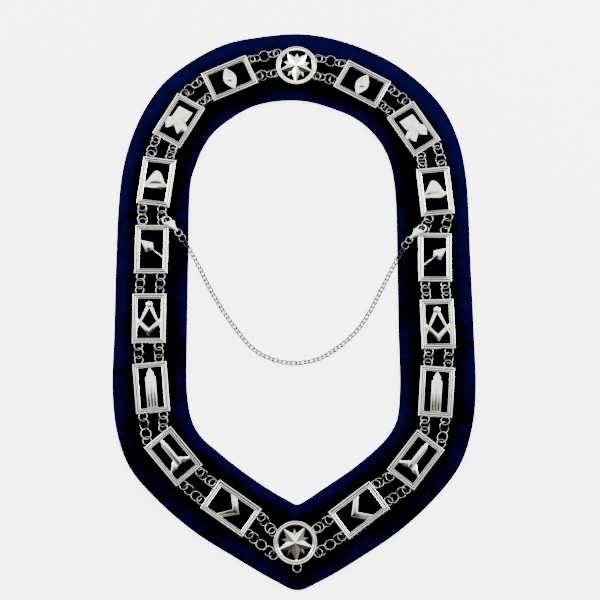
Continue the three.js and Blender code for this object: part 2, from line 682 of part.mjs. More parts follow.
// The jump ring that a clasp hooks is the one above the fourth plaque
function claspFrame(side) {
  const rings = strandFor(side, 4, "inner");
  const hooked = rings[rings.length - 1].centre;
  const { hook, tail, roll, fall, lift } = claspRows[side];
  const mirror = side === "left" ? 1 : -1;
  const reach = ringRadius + hookRadius - (ringWire + hookWire) / 2 - 4.6 * linkClearance;
  const centre = hooked.clone();
  centre.x += reach * Math.cos(degrees(hook));
  centre.y += reach * Math.sin(degrees(hook));
  centre.z = loopPlane + lift;
  const matrix = new THREE.Matrix4().makeRotationZ(degrees(tail));
  matrix.multiply(new THREE.Matrix4().makeRotationY(degrees(fall)));
  matrix.multiply(new THREE.Matrix4().makeRotationX(degrees(-roll * mirror)));
  return { matrix: matrix.setPosition(centre), mirror };
}

function place(mesh, matrix) {
  matrix.decompose(mesh.position, mesh.quaternion, mesh.scale);
  return mesh;
}

function claspPieces(side) {
  const { matrix, mirror } = claspFrame(side);
  let body = claspBodySolid();
  let lever = leverSolid();
  if (mirror < 0) {
    body = body.mirror([0, 1, 0]);
    lever = lever.mirror([0, 1, 0]);
  }
  const holder = new THREE.Group();
  place(holder, matrix);
  holder.add(piece(`clasp_${side}`, toGeometry(body), silver));
  const leverMesh = piece(`clasp_lever_${side}`, toGeometry(lever), silver);
  leverMesh.position.set(pinPlace.x, mirror * pinPlace.y, 0);
  holder.add(leverMesh);
  return holder;
}

// End rings: the first passes through the clasp's tail, the second joins it to the chain.
// Each is soldered to the next, and they lie across each other.
const endRingRadius = (endRingDiameter - endRingWire) / 2;
const endRingDrop = 10;
const endRingCross = 50;

function endRings(side) {
  const { matrix, mirror } = claspFrame(side);
  const dropped = new THREE.Matrix4().makeRotationY(degrees(endRingDrop));
  const fromTail = new THREE.Vector3(endRingRadius, 0, 0).applyMatrix4(dropped);
  fromTail.x += tailReach - tailKnob;
  const first = matrix.clone().multiply(dropped.setPosition(fromTail));
  const solderReach = solderedPitch(endRingRadius, endRingWire) - endRingRadius;
  const contact = new THREE.Vector3(solderReach, 0, 0).applyMatrix4(first);
  const [endX, endY] = side === "left" ? chainRoute[0] : chainRoute[chainRoute.length - 1];
  const aim = Math.atan2(endY * halfLength - contact.y, endX * halfWidth - contact.x);
  const across = new THREE.Matrix4().makeRotationZ(aim)
    .multiply(new THREE.Matrix4().makeRotationY(degrees(0.5 * endRingDrop)))
    .multiply(new THREE.Matrix4().makeRotationX(degrees(mirror * (endRingCross - claspRows[side].roll))));
  const second = across.clone().setPosition(contact)
    .multiply(new THREE.Matrix4().makeTranslation(endRingRadius, 0, 0));
  return {
    solids: [ringSolid(endRingRadius, endRingWire, first), ringSolid(endRingRadius, endRingWire, second)],
    exit: new THREE.Vector3(endRingRadius - 0.2 * endRingWire, 0, 0).applyMatrix4(second),
  };
}

// The chain runs level from its end rings over the velvet's edge, then drops to the surface
const chainLevelRun = 12;
const chainDropRun = 18;
const chainSurfaceGap = 0.1;

function chainHeight(distance, exitHeight) {
  const onSurface = chainThickness / 2 + chainSurfaceGap;
  const onRim = Math.max(exitHeight, rimThickness + 2 * seatGap + chainThickness / 2);
  const lead = THREE.MathUtils.smoothstep(distance, 0, chainLevelRun);
  const drop = THREE.MathUtils.smoothstep(distance, chainLevelRun, chainLevelRun + chainDropRun);
  const level = exitHeight + (onRim - exitHeight) * lead;
  return level + (onSurface - level) * drop;
}

function safetyChainSolid() {
  const ends = { left: endRings("left"), right: endRings("right") };
  const route = chainRoute.map(([x, y]) => new THREE.Vector3(x * halfWidth, y * halfLength, 0));
  const exits = { left: ends.left.exit, right: ends.right.exit };
  const plan = new THREE.CatmullRomCurve3(
    [exits.left.clone().setZ(0), ...route, exits.right.clone().setZ(0)], false, "centripetal");
  const length = plan.getLength();
  const steps = Math.round(length / (2.2 * chainThickness));
  const points = plan.getSpacedPoints(2 * steps).map((point, step) => {
    const along = length * step / (2 * steps);
    const fromLeft = along < length / 2;
    point.z = fromLeft ? chainHeight(along, exits.left.z) : chainHeight(length - along, exits.right.z);
    return point;
  });
  const path = new THREE.CatmullRomCurve3(points, false, "centripetal");
  const tube = new THREE.ExtrudeGeometry(wireSection(chainThickness, 8), { steps, extrudePath: path });
  return join([toManifold(tube), ...ends.left.solids, ...ends.right.solids]);
}

// Assembly
const collar = new THREE.Group();
collar.add(piece("backing_band", bandGeometry(), velvet));

for (const side of ["left", "right"]) {
  for (let number = 1; number <= emblems.length; number += 1) {
    const geometry = toGeometry(plaqueSolid(number, side));
    collar.add(place(piece(`plaque_${side}_${number}`, geometry, silver), plaqueMatrix(side, number)));
  }
  for (let gap = 1; gap <= emblems.length + 1; gap += 1) {
    for (const strand of ["outer", "inner"]) {
      const rings = strandFor(side, gap, strand);
      const solids = rings.map(({ matrix }) => ringSolid(ringRadius, ringWire, matrix));
      collar.add(piece(`rings_${side}_${gap}_${strand}`, toGeometry(join(solids)), silver));
    }
  }
  collar.add(claspPieces(side));
}

for (const which of ["top", "bottom"]) {
  const { x, y } = medallionRows[which];
  const mesh = piece(`medallion_${which}`, toGeometry(medallionSolid(which)), silver);
  mesh.position.set(x * halfWidth, y * halfLength, plaqueSeat);
  collar.add(mesh);
}

collar.add(piece("safety_chain", toGeometry(safetyChainSolid()), silver));

// The origin stands under the middle of the whole collar
collar.updateMatrixWorld(true);
const middle = new THREE.Box3().setFromObject(collar).getCenter(new THREE.Vector3());
collar.position.set(-middle.x, -middle.y, 0);

export default collar;
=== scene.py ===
# Looks of a chain collar of office: velvet band, pierced silver plaques, jump rings,
# star medallions and a safety chain. Lengths are in millimetres until a mesh is made.
import math

import bmesh
import bpy
from mathutils import Matrix, Vector, noise


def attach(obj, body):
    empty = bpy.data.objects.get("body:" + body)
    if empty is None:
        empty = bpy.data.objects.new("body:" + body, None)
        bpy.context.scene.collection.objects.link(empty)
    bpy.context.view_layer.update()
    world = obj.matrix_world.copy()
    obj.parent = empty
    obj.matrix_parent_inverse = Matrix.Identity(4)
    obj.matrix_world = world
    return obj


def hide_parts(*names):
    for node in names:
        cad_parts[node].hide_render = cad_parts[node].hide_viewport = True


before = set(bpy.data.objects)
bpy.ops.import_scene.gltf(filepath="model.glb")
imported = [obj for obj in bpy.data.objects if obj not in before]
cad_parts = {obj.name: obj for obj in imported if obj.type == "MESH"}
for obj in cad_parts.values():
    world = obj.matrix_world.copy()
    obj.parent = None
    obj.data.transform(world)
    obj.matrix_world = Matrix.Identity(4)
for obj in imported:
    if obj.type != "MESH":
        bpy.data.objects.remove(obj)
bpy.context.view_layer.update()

# Sizes that the solids share
SHIFT_X = 0.7899
SHIFT_Y = 0.8535
HALF_WIDTH = 356.5 / 2
HALF_LENGTH = 569 / 2
BAND_THICKNESS = 2.4
RIM_THICKNESS = 3.0
EDGE_LIFT = 1.6
PLAQUE_LENGTH = 50.4
PLAQUE_WIDTH = 33.7
PLAQUE_THICKNESS = 3.4
FRAME_BAND = 5.7
WINDOW_EDGE = 1.7
EMBLEM_BOTTOM = 0.4
EMBLEM_HEIGHT = 2.0
LOOP_RADIUS = 4.05
LOOP_WIRE = 1.4
LOOP_SPACING = 20.0
LOOP_REACH = 3.0
RING_RADIUS = 5.25
RING_WIRE = 1.0
CLEARANCE = 0.3
SEAT_GAP = 0.3
MEDALLION_RADIUS = 41.8 / 2
MEDALLION_BAND = 4.3
JEWEL_RADIUS = 4.1
JEWEL_WIRE = 1.0
CHAIN_THICKNESS = 4.4
END_RING_RADIUS = 3.65
END_RING_WIRE = 0.9
CLASP_LENGTH = 20.5
CLASP_THICKNESS = 2.4
HOOK_HOLE = 7.6
HOOK_WIRE = 1.3
LEVER_THICKNESS = 1.1
LEVER_PIN = 0.8
TAIL_KNOB = 1.7

# The frames' grooves, the stars, the soldered loops and the chain's links
LINES = (2.3, 4.15)
LINE_WIDTH = 0.75
GROOVE_DEPTH = 1.1
STAR_TIP = 18.15
STAR_VALLEY = 7.84
STAR_EDGE = 1.2
STAR_CROWN = 4.6
SMALL_STAR_TIP = 13.74
SMALL_STAR_EDGE = 0.9
SMALL_STAR_CROWN = 2.3
SOLDERED_WIRE = 0.85 * LOOP_WIRE
LINK_SPACING = 4.5
LINK_LENGTH = 4.4
LINK_BEND = 1.9
LINK_WIRE = 1.2
LINK_STRETCH = 1.3
ROUTE_STEPS = 1600

# Sizes that follow
MEAN_WIRE = (LOOP_WIRE + RING_WIRE) / 2
END_PITCH = LOOP_RADIUS + RING_RADIUS - MEAN_WIRE - 2.4 * CLEARANCE
RING_PITCH = 2 * RING_RADIUS - 0.75 * RING_WIRE
CROSSING = (END_PITCH ** 2 + LOOP_RADIUS ** 2 - RING_RADIUS ** 2) / (2 * END_PITCH)
RING_TILT = math.asin((MEAN_WIRE + 0.65 * CLEARANCE) / math.sqrt(LOOP_RADIUS ** 2 - CROSSING ** 2))
RING_DROP = RING_RADIUS * math.sin(RING_TILT) + RING_WIRE / 2
LOOP_INSET = 0.3
ROOM = max(PLAQUE_THICKNESS, RING_DROP + LOOP_WIRE / 2 + LOOP_INSET - 0.5 * SEAT_GAP)
PLAQUE_SEAT = BAND_THICKNESS + SEAT_GAP + ROOM - PLAQUE_THICKNESS
LOOP_PLANE = PLAQUE_SEAT + PLAQUE_THICKNESS - LOOP_INSET - LOOP_WIRE / 2
HOOK_RADIUS = (HOOK_HOLE + HOOK_WIRE) / 2
TAIL_REACH = CLASP_LENGTH - HOOK_RADIUS - HOOK_WIRE / 2
PIN_X = 0.36 * TAIL_REACH
PIN_Y = 0.5 * HOOK_RADIUS
SLOT_HEIGHT = LEVER_THICKNESS + 2 * CLEARANCE
WINDOW_X = PLAQUE_WIDTH / 2 - FRAME_BAND
WINDOW_Y = PLAQUE_LENGTH / 2 - FRAME_BAND

# Rows round the band, clockwise from the nape: outer and inner edge as shares of half the
# width and length, then how far each edge rises
BAND_ROWS = [
    (0.011, 0.997, 0.011, 0.738, 0, 0), (0.175, 0.985, 0.095, 0.731, 0, 0),
    (0.365, 0.948, 0.228, 0.704, 0.1, 0.2), (0.556, 0.889, 0.343, 0.67, 0.1, 0.4),
    (0.729, 0.803, 0.44, 0.618, 0.3, 0.4), (0.86, 0.703, 0.506, 0.559, 0.3, 0.4),
    (0.942, 0.581, 0.544, 0.498, 0.1, 0.5), (0.974, 0.47, 0.563, 0.432, 0, 0.3),
    (0.985, 0.366, 0.573, 0.355, 0, 0), (0.99, 0.144, 0.576, 0.144, 0.1, 0),
    (0.998, -0.108, 0.577, -0.108, 0.1, 0), (1, -0.328, 0.579, -0.328, 0.2, 0),
    (0.976, -0.45, 0.559, -0.427, 0.4, 0.3), (0.911, -0.573, 0.517, -0.477, 0.6, 0.4),
    (0.803, -0.667, 0.438, -0.53, 0.3, 0.4), (0.594, -0.792, 0.3, -0.6, 0, 0.3),
    (0.348, -0.897, 0.162, -0.658, 0, 0.2), (0.137, -0.973, 0.062, -0.7, 0, 0),
    (0.013, -1.003, 0.011, -0.715, 0, 0), (-0.103, -0.973, -0.034, -0.702, 0.1, 0),
    (-0.299, -0.903, -0.145, -0.662, 0.3, 0.1), (-0.554, -0.804, -0.298, -0.596, 0.5, 0.2),
    (-0.778, -0.683, -0.433, -0.529, 0.8, 0.3), (-0.902, -0.591, -0.513, -0.484, 0.9, 0.3),
    (-0.974, -0.478, -0.563, -0.431, 0.7, 0.1), (-1.008, -0.328, -0.594, -0.338, 0.3, 0),
    (-1.008, -0.108, -0.601, -0.108, 0.1, 0), (-1.009, 0.144, -0.601, 0.144, 0.1, 0),
    (-1.003, 0.355, -0.601, 0.355, 0.1, 0.1), (-0.987, 0.471, -0.592, 0.439, 0, 0.3),
    (-0.948, 0.581, -0.568, 0.49, 0, 0.4), (-0.879, 0.693, -0.532, 0.552, 0, 0.3),
    (-0.764, 0.806, -0.471, 0.613, 0, 0.3), (-0.6, 0.892, -0.369, 0.669, 0, 0.3),
    (-0.405, 0.958, -0.245, 0.715, 0, 0.1), (-0.194, 0.986, -0.114, 0.735, 0, 0),
]

# Plaques from the nape to the breast: place as shares and lean in degrees
PLAQUE_ROWS = {
    "left": [
        (-0.378, 0.819, -66), (-0.668, 0.657, -30.2), (-0.79, 0.427, -7.3), (-0.808, 0.178, -0.4),
        (-0.813, -0.071, 0.1), (-0.793, -0.316, 5.5), (-0.663, -0.554, 40.2), (-0.345, -0.731, 55.2),
    ],
    "right": [
        (0.387, 0.796, 61), (0.68, 0.626, 33), (0.797, 0.391, 5.5), (0.787, 0.149, -0.7),
        (0.795, -0.091, 1.5), (0.781, -0.33, -4.2), (0.659, -0.566, -38), (0.347, -0.737, -53.2),
    ],
}

# Medallions: place as shares, the star's turn, and the bearings of their loops
MEDALLION_ROWS = {
    "top": (0.007, 0.868, -3, {("left", "outer"): 145, ("left", "inner"): 201,
                               ("right", "outer"): 19, ("right", "inner"): -29}),
    "bottom": (0.003, -0.846, 4, {("left", "outer"): 209, ("left", "inner"): 154,
                                  ("right", "outer"): -23, ("right", "inner"): 33}),
}
JEWEL_BEARING = -86

CHAIN_ROUTE = [
    (-0.569, 0.15), (-0.535, 0.111), (-0.477, 0.037), (-0.42, -0.024), (-0.363, -0.078), (-0.306, -0.126),
    (-0.25, -0.167), (-0.194, -0.194), (-0.138, -0.211), (-0.082, -0.222), (-0.027, -0.227), (0.029, -0.227),
    (0.084, -0.221), (0.14, -0.21), (0.196, -0.191), (0.251, -0.167), (0.307, -0.137), (0.364, -0.098),
    (0.421, -0.042), (0.458, 0.002), (0.501, 0.054), (0.544, 0.107),
]
# How each clasp lies: bearings to its hook and its tail, roll, fall of the tail and height
CLASP_ROWS = {"left": (-46, -46, 22, 1, 1.7), "right": (-138, -138, 26, 0, 2.1)}

DETAIL = 1.0


def counted(number, least=6):
    return max(least, int(round(number * DETAIL)))


# Meshes
class Shape:
    """Points and faces in millimetres, added to and then made into one mesh."""

    def __init__(self):
        self.points = []
        self.faces = []

    def add(self, points, faces, matrix=None):
        start = len(self.points)
        for point in points:
            vector = Vector(point)
            self.points.append(matrix @ vector if matrix else vector)
        flipped = matrix is not None and matrix.determinant() < 0
        for face in faces:
            ring = [start + corner for corner in face]
            self.faces.append(ring[::-1] if flipped else ring)
        return self

    def merge(self, other, matrix=None):
        return self.add(other.points, other.faces, matrix)

    def make(self, name, material, slot, replaced, body="collar", sharp=35.0):
        mesh = bpy.data.meshes.new(name)
        scaled = [((p.x + SHIFT_X) * 0.001, (p.y + SHIFT_Y) * 0.001, p.z * 0.001) for p in self.points]
        mesh.from_pydata(scaled, [], self.faces)
        mesh.validate()
        mesh.polygons.foreach_set("use_smooth", [True] * len(mesh.polygons))
        mesh.set_sharp_from_angle(angle=math.radians(sharp))
        mesh.materials.append(material)
        mesh.update()
        piece = bpy.data.objects.new(name, mesh)
        bpy.context.scene.collection.objects.link(piece)
        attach(piece, body)
        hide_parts(*replaced)
        return piece


def turn_z(angle, place=(0, 0, 0)):
    return Matrix.Translation(Vector(place)) @ Matrix.Rotation(angle, 4, "Z")


def torus(radius, wire, matrix=None, around=40, sides=14, stretch=0.0):
    """A ring of round wire. stretch draws it out along its own X into a long oval."""
    shape = Shape()
    around = counted(around, 16)
    sides = counted(sides, 8)
    points = []
    for step in range(around):
        bearing = 2 * math.pi * step / around
        middle = Vector((radius * math.cos(bearing), radius * math.sin(bearing), 0))
        outward = middle.normalized()
        middle.x += math.copysign(stretch, math.cos(bearing))
        for side in range(sides):
            angle = 2 * math.pi * side / sides
            reach = wire / 2 * math.cos(angle)
            points.append(middle + outward * reach + Vector((0, 0, wire / 2 * math.sin(angle))))
    return shape.add(points, grid_faces(around, sides, True, True), matrix)


def grid_faces(rows, columns, rows_closed, columns_closed):
    faces = []
    for row in range(rows if rows_closed else rows - 1):
        below = (row + 1) % rows
        for column in range(columns if columns_closed else columns - 1):
            beside = (column + 1) % columns
            faces.append([row * columns + column, below * columns + column,
                          below * columns + beside, row * columns + beside])
    return faces


def tube(path, radii, sides=14):
    """A round tube along a path, with its own radius at each point and flat ends."""
    sides = counted(sides, 8)
    points = []
    side_way = None
    for step, middle in enumerate(path):
        before = path[max(step - 1, 0)]
        after = path[min(step + 1, len(path) - 1)]
        along = (after - before).normalized()
        if side_way is None:
            helper = Vector((0, 0, 1)) if abs(along.z) < 0.9 else Vector((1, 0, 0))
            side_way = along.cross(helper).normalized()
        side_way = (side_way - along * side_way.dot(along)).normalized()
        up = along.cross(side_way)
        for side in range(sides):
            angle = 2 * math.pi * side / sides
            reach = side_way * math.cos(angle) + up * math.sin(angle)
            points.append(middle + reach * radii[step])
    faces = grid_faces(len(path), sides, False, True)
    faces.append(list(range(sides)))
    last = (len(path) - 1) * sides
    faces.append([last + side for side in range(sides)][::-1])
    return Shape().add(points, [face[::-1] for face in faces])


def dome(points, bottom, edge, crown, rings=6, power=0.5):
    """A cushion-shaped relief over a closed outline."""
    count = len(points)
    middle = sum((Vector((x, y, 0)) for x, y in points), Vector()) / count
    all_points = [(x, y, bottom) for x, y in points]
    for ring in range(rings):
        share = 1 - ring / rings
        height = edge + (crown - edge) * (1 - share ** 2) ** power
        for x, y in points:
            all_points.append((middle.x + (x - middle.x) * share, middle.y + (y - middle.y) * share, height))
    faces = grid_faces(rings + 1, count, False, True)
    last = rings * count
    all_points.append((middle.x, middle.y, crown))
    top = len(all_points) - 1
    for corner in range(count):
        faces.append([last + corner, top, last + (corner + 1) % count])
    faces.append([*range(count)])
    return Shape().add(all_points, [face[::-1] for face in faces])


def relief(points, bottom, top, bevel=0.35, holes=()):
    """A flat raised form over an outline, its upper and lower edges rounded."""
    curve = bpy.data.curves.new("outline", "CURVE")
    curve.dimensions = "2D"
    curve.fill_mode = "BOTH"
    curve.extrude = max((top - bottom) / 2 - bevel, 0.01)
    curve.bevel_depth = bevel
    curve.bevel_resolution = 2
    curve.offset = -bevel
    for outline in [points, *holes]:
        spline = curve.splines.new("POLY")
        spline.points.add(len(outline) - 1)
        for index, (x, y) in enumerate(outline):
            spline.points[index].co = (x, y, 0, 1)
        spline.use_cyclic_u = True
    holder = bpy.data.objects.new("outline", curve)
    bpy.context.scene.collection.objects.link(holder)
    bpy.context.view_layer.update()
    mesh = bpy.data.meshes.new_from_object(holder.evaluated_get(bpy.context.evaluated_depsgraph_get()))
    work = bmesh.new()
    work.from_mesh(mesh)
    bmesh.ops.remove_doubles(work, verts=work.verts, dist=0.001)
    bmesh.ops.recalc_face_normals(work, faces=work.faces)
    middle = (top + bottom) / 2
    shape = Shape().add([v.co + Vector((0, 0, middle)) for v in work.verts],
                        [[v.index for v in face.verts] for face in work.faces])
    work.free()
    bpy.data.objects.remove(holder)
    bpy.data.curves.remove(curve)
    bpy.data.meshes.remove(mesh)
    return shape


# Curves that pass through points, spaced by the square root of the distance
def spline_value(points, position, closed=True):
    count = len(points)
    spans = count if closed else count - 1
    scaled = min(max(position, 0.0), 1.0) * spans
    span = min(int(scaled), spans - 1)
    weight = scaled - span

    def at(index):
        if closed:
            return points[index % count]
        if index < 0:
            return points[0] * 2 - points[1]
        if index >= count:
            return points[-1] * 2 - points[-2]
        return points[index]

    before, here, there, after = at(span - 1), at(span), at(span + 1), at(span + 2)
    knot = max((there - here).length ** 0.5, 1e-4)
    knot_before = max((here - before).length ** 0.5, 1e-4)
    knot_after = max((after - there).length ** 0.5, 1e-4)
    leaving = ((here - before) / knot_before - (there - before) / (knot_before + knot)
               + (there - here) / knot) * knot
    arriving = ((there - here) / knot - (after - here) / (knot + knot_after)
                + (after - there) / knot_after) * knot
    square = (there - here) * 3 - leaving * 2 - arriving
    cube = (here - there) * 2 + leaving + arriving
    return here + leaving * weight + square * weight ** 2 + cube * weight ** 3


def smooth_outline(points, steps=6):
    vectors = [Vector((x, y, 0)) for x, y in points]
    total = len(vectors) * steps
    found = [spline_value(vectors, step / total) for step in range(total)]
    return [(v.x, v.y) for v in found]


def smoothstep(value, low, high):
    share = min(max((value - low) / (high - low), 0.0), 1.0)
    return share * share * (3 - 2 * share)


# Materials
def new_material(name):
    material = bpy.data.materials.new(name)
    material.use_nodes = True
    nodes = material.node_tree.nodes
    return material, nodes, material.node_tree.links, nodes["Principled BSDF"]


def noise_node(nodes, links, source, scale, detail=3.0, roughness=0.5):
    node = nodes.new("ShaderNodeTexNoise")
    node.inputs["Scale"].default_value = scale
    node.inputs["Detail"].default_value = detail
    node.inputs["Roughness"].default_value = roughness
    links.new(source, node.inputs["Vector"])
    return node


def ramp_node(nodes, links, source, stops):
    node = nodes.new("ShaderNodeValToRGB")
    ramp = node.color_ramp
    ramp.elements[0].position = stops[0][0]
    ramp.elements[0].color = (*stops[0][1], 1)
    ramp.elements[1].position = stops[-1][0]
    ramp.elements[1].color = (*stops[-1][1], 1)
    for position, colour in stops[1:-1]:
        ramp.elements.new(position).color = (*colour, 1)
    links.new(source, node.inputs["Fac"])
    return node


def silver_material(name, dark, bright, smooth, rough, bump, edge=1.0):
    material, nodes, links, shader = new_material(name)
    place = nodes.new("ShaderNodeTexCoord").outputs["Object"]
    broad = noise_node(nodes, links, place, 160, 3)
    fine = noise_node(nodes, links, place, 2600, 4, 0.6)
    colour = ramp_node(nodes, links, broad.outputs["Fac"], [(0.3, dark), (0.7, bright)])
    links.new(colour.outputs["Color"], shader.inputs["Base Color"])
    gloss = nodes.new("ShaderNodeMapRange")
    gloss.inputs["To Min"].default_value = smooth
    gloss.inputs["To Max"].default_value = rough
    links.new(broad.outputs["Fac"], gloss.inputs["Value"])
    links.new(gloss.outputs["Result"], shader.inputs["Roughness"])
    relief_node = nodes.new("ShaderNodeBump")
    relief_node.inputs["Strength"].default_value = bump
    relief_node.inputs["Distance"].default_value = 0.00004
    links.new(fine.outputs["Fac"], relief_node.inputs["Height"])
    links.new(relief_node.outputs["Normal"], shader.inputs["Normal"])
    shader.inputs["Metallic"].default_value = 1.0
    shader.inputs["Specular Tint"].default_value = (edge, edge, edge, 1)
    return material


def velvet_material():
    material, nodes, links, shader = new_material("velvet")
    place = nodes.new("ShaderNodeTexCoord").outputs["Object"]
    broad_sheen_patches = noise_node(nodes, links, place, 22, 3, 0.5)
    brushed_sheen_patches = noise_node(nodes, links, place, 120, 4, 0.6)
    pile = noise_node(nodes, links, place, 1900, 3, 0.7)
    # Painted sheen: the edge attribute "rim" and both noise patches lift the velvet's own near-black navy to
    # brighter blue in the base colour
    lean = nodes.new("ShaderNodeAttribute")
    lean.attribute_name = "rim"
    mixed = nodes.new("ShaderNodeMath")
    mixed.operation = "MULTIPLY_ADD"
    links.new(brushed_sheen_patches.outputs["Fac"], mixed.inputs[0])
    mixed.inputs[1].default_value = 1.0
    links.new(broad_sheen_patches.outputs["Fac"], mixed.inputs[2])
    lit = nodes.new("ShaderNodeMath")
    lit.operation = "MULTIPLY_ADD"
    links.new(lean.outputs["Fac"], lit.inputs[0])
    lit.inputs[1].default_value = 0.7
    links.new(mixed.outputs["Value"], lit.inputs[2])
    scaled = nodes.new("ShaderNodeMath")
    scaled.operation = "MULTIPLY"
    links.new(lit.outputs["Value"], scaled.inputs[0])
    scaled.inputs[1].default_value = 0.43
    colour = ramp_node(nodes, links, scaled.outputs["Value"], [
        (0.4, (0.0001, 0.0001, 0.0002)), (0.5, (0.0002, 0.0, 0.002)),
        (0.6, (0.0006, 0.0, 0.014)), (0.78, (0.001, 0.0, 0.03))])
    links.new(colour.outputs["Color"], shader.inputs["Base Color"])
    bump = nodes.new("ShaderNodeBump")
    bump.inputs["Strength"].default_value = 0.6
    bump.inputs["Distance"].default_value = 0.0004
    links.new(pile.outputs["Fac"], bump.inputs["Height"])
    links.new(bump.outputs["Normal"], shader.inputs["Normal"])
    shader.inputs["Roughness"].default_value = 1.0
    shader.inputs["Specular IOR Level"].default_value = 0.0
    shader.inputs["Sheen Weight"].default_value = 0.02
    shader.inputs["Sheen Roughness"].default_value = 0.4
    shader.inputs["Sheen Tint"].default_value = (0.02, 0.01, 0.6, 1)
    return material


silver = silver_material("silver", (0.84, 0.84, 0.77), (0.93, 0.93, 0.87), 0.06, 0.13, 0.1)
clasp_silver = silver_material("clasp_silver", (0.9, 0.9, 0.86), (0.95, 0.95, 0.92), 0.4, 0.5, 0.1)
# Painted shade: a darker copy of the silver, with dimmer reflections, for the soldered loops, the jump rings
# and the chain's end rings
shaded_ring_silver = silver_material("shaded_ring_silver", (0.22, 0.22, 0.2), (0.42, 0.41, 0.39), 0.1, 0.22, 0.25, 0.6)
# Painted shade: a near-black copy of the silver, with dim reflections, for the safety chain's links, which
# are the same silver as the plaques
chain_silver = silver_material("chain_silver", (0.008, 0.008, 0.007), (0.075, 0.075, 0.065), 0.1, 0.2, 0.4,
                               0.15)
# Painted shade: a darker copy of the silver for the bottom medallion's small star
shaded_star_silver = silver_material("shaded_star_silver", (0.06, 0.06, 0.05), (0.26, 0.26, 0.24), 0.15, 0.3, 0.4)
# Painted shade: a near-black copy of the silver for the strips in the frame grooves and the tubes along the
# emblem creases
recess_shade = silver_material("recess_shade", (0.01, 0.01, 0.008), (0.03, 0.03, 0.022), 0.35, 0.5, 0.2)
velvet = velvet_material()


# The velvet band: a soft roll at both edges, a flat middle and the pile's slight waves
def band_section():
    """Corners round the section: across, wall share, rim share, and what each edge's lift adds."""
    corners = [(0.09, 0, 0, 0.0, 0.0), (0.05, 0, 0, 0.35, 0), (0.018, 0.02, 0, 0.9, 0)]
    for step in range(7):
        angle = math.pi * (step / 6 - 0.5)
        wall = 0.5 + 0.5 * math.sin(angle)
        corners.append((0.013 - 0.013 * math.cos(angle), wall, 0.9 * wall, 1, 0))
    roll = [(0.024, 1, 0.95), (0.036, 0.9, 0.85), (0.05, 0.65, 0.65), (0.07, 0.3, 0.4), (0.1, 0, 0.1)]
    corners += [(across, 1, rim, lift, 0) for across, rim, lift in roll]
    middle = [(0.1 + 0.8 * step / 26, 1, 0, 0, 0) for step in range(1, 26)]
    mirrored = [(1 - across, wall, rim, 0, lift) for across, wall, rim, lift, _ in corners[::-1]]
    return corners + middle + mirrored


def wrinkle(x, y):
    """Soft waves of the cloth, and the crease at the upper right."""
    wave = 0.16 * noise.noise(Vector((x / 34, y / 34, 3.1)))
    wave += 0.07 * noise.noise(Vector((x / 9, y / 9, 7.7)))
    start, end = Vector((112, 189)), Vector((142, 206))
    way = end - start
    place = Vector((x, y)) - start
    along = min(max(place.dot(way) / way.length_squared, -0.2), 1.2)
    distance = (place - way * along).length
    wave -= 0.55 * math.exp(-(distance / 1.3) ** 2)
    wave += 0.25 * math.exp(-((distance - 3.2) / 1.8) ** 2)
    return wave


def painted_sheen_level(across, y):
    """How much painted sheen the velvet's base colour shows: blue along both edges, most at the nape and the
    inner V.
    """
    outer_share = 0.45 + 0.55 * smoothstep(y, -190, 120)
    inner_share = 0.5 + 0.5 * smoothstep(-y, 60, 180) + 0.15 * smoothstep(y, 100, 180)
    outer = outer_share * (1 - smoothstep(across, 0.04, 0.28 + 0.16 * smoothstep(y, 120, 250)))
    inner = inner_share * (1 - smoothstep(1 - across, 0.03, 0.22))
    return max(outer, inner)


def make_band():
    outer = [Vector((r[0] * HALF_WIDTH, r[1] * HALF_LENGTH, 0)) for r in BAND_ROWS]
    inner = [Vector((r[2] * HALF_WIDTH, r[3] * HALF_LENGTH, 0)) for r in BAND_ROWS]
    lifts = [Vector((r[4], r[5], 0)) for r in BAND_ROWS]
    section = band_section()
    rows = counted(540)
    points = []
    rim_sheen_values = []
    for row in range(rows):
        position = row / rows
        out_point = spline_value(outer, position)
        in_point = spline_value(inner, position)
        lift = spline_value(lifts, position)
        for across, wall, rim, out_lift, in_lift in section:
            point = out_point.lerp(in_point, across)
            height = wall * BAND_THICKNESS + rim * (RIM_THICKNESS - BAND_THICKNESS)
            height += EDGE_LIFT * (max(lift.x, 0) * out_lift + max(lift.y, 0) * in_lift)
            if wall > 0.9:
                height += wrinkle(point.x, point.y)
            points.append((point.x, point.y, height))
            rim_sheen_values.append(painted_sheen_level(across, point.y))
    faces = [face[::-1] for face in grid_faces(rows, len(section), True, True)]
    shape = Shape().add(points, faces)
    piece = shape.make("velvet_band", velvet, "velvet", sharp=80, replaced=["backing_band"])
    # The attribute "rim" carries this painted sheen into the velvet's base colour
    attribute = piece.data.attributes.new("rim", "FLOAT", "POINT")
    attribute.data.foreach_set("value", rim_sheen_values)
    return piece


# Plaque frames
def bead(low, high, base, crown, steps=7):
    """Points over a rounded ridge from one inset to another."""
    found = []
    for step in range(steps + 1):
        angle = math.pi * step / steps
        across = low + (high - low) * (1 - math.cos(angle)) / 2
        found.append((across, base + (crown - base) * math.sin(angle) ** 0.7))
    return found


def swept_frame(profile):
    """A profile of inset and height carried round the plaque's four corners."""
    points = []
    for side_x, side_y in [(1, 1), (-1, 1), (-1, -1), (1, -1)]:
        for inset, height in profile:
            points.append((side_x * (PLAQUE_WIDTH / 2 - inset), side_y * (PLAQUE_LENGTH / 2 - inset), height))
    return Shape().add(points, grid_faces(4, len(profile), True, True))


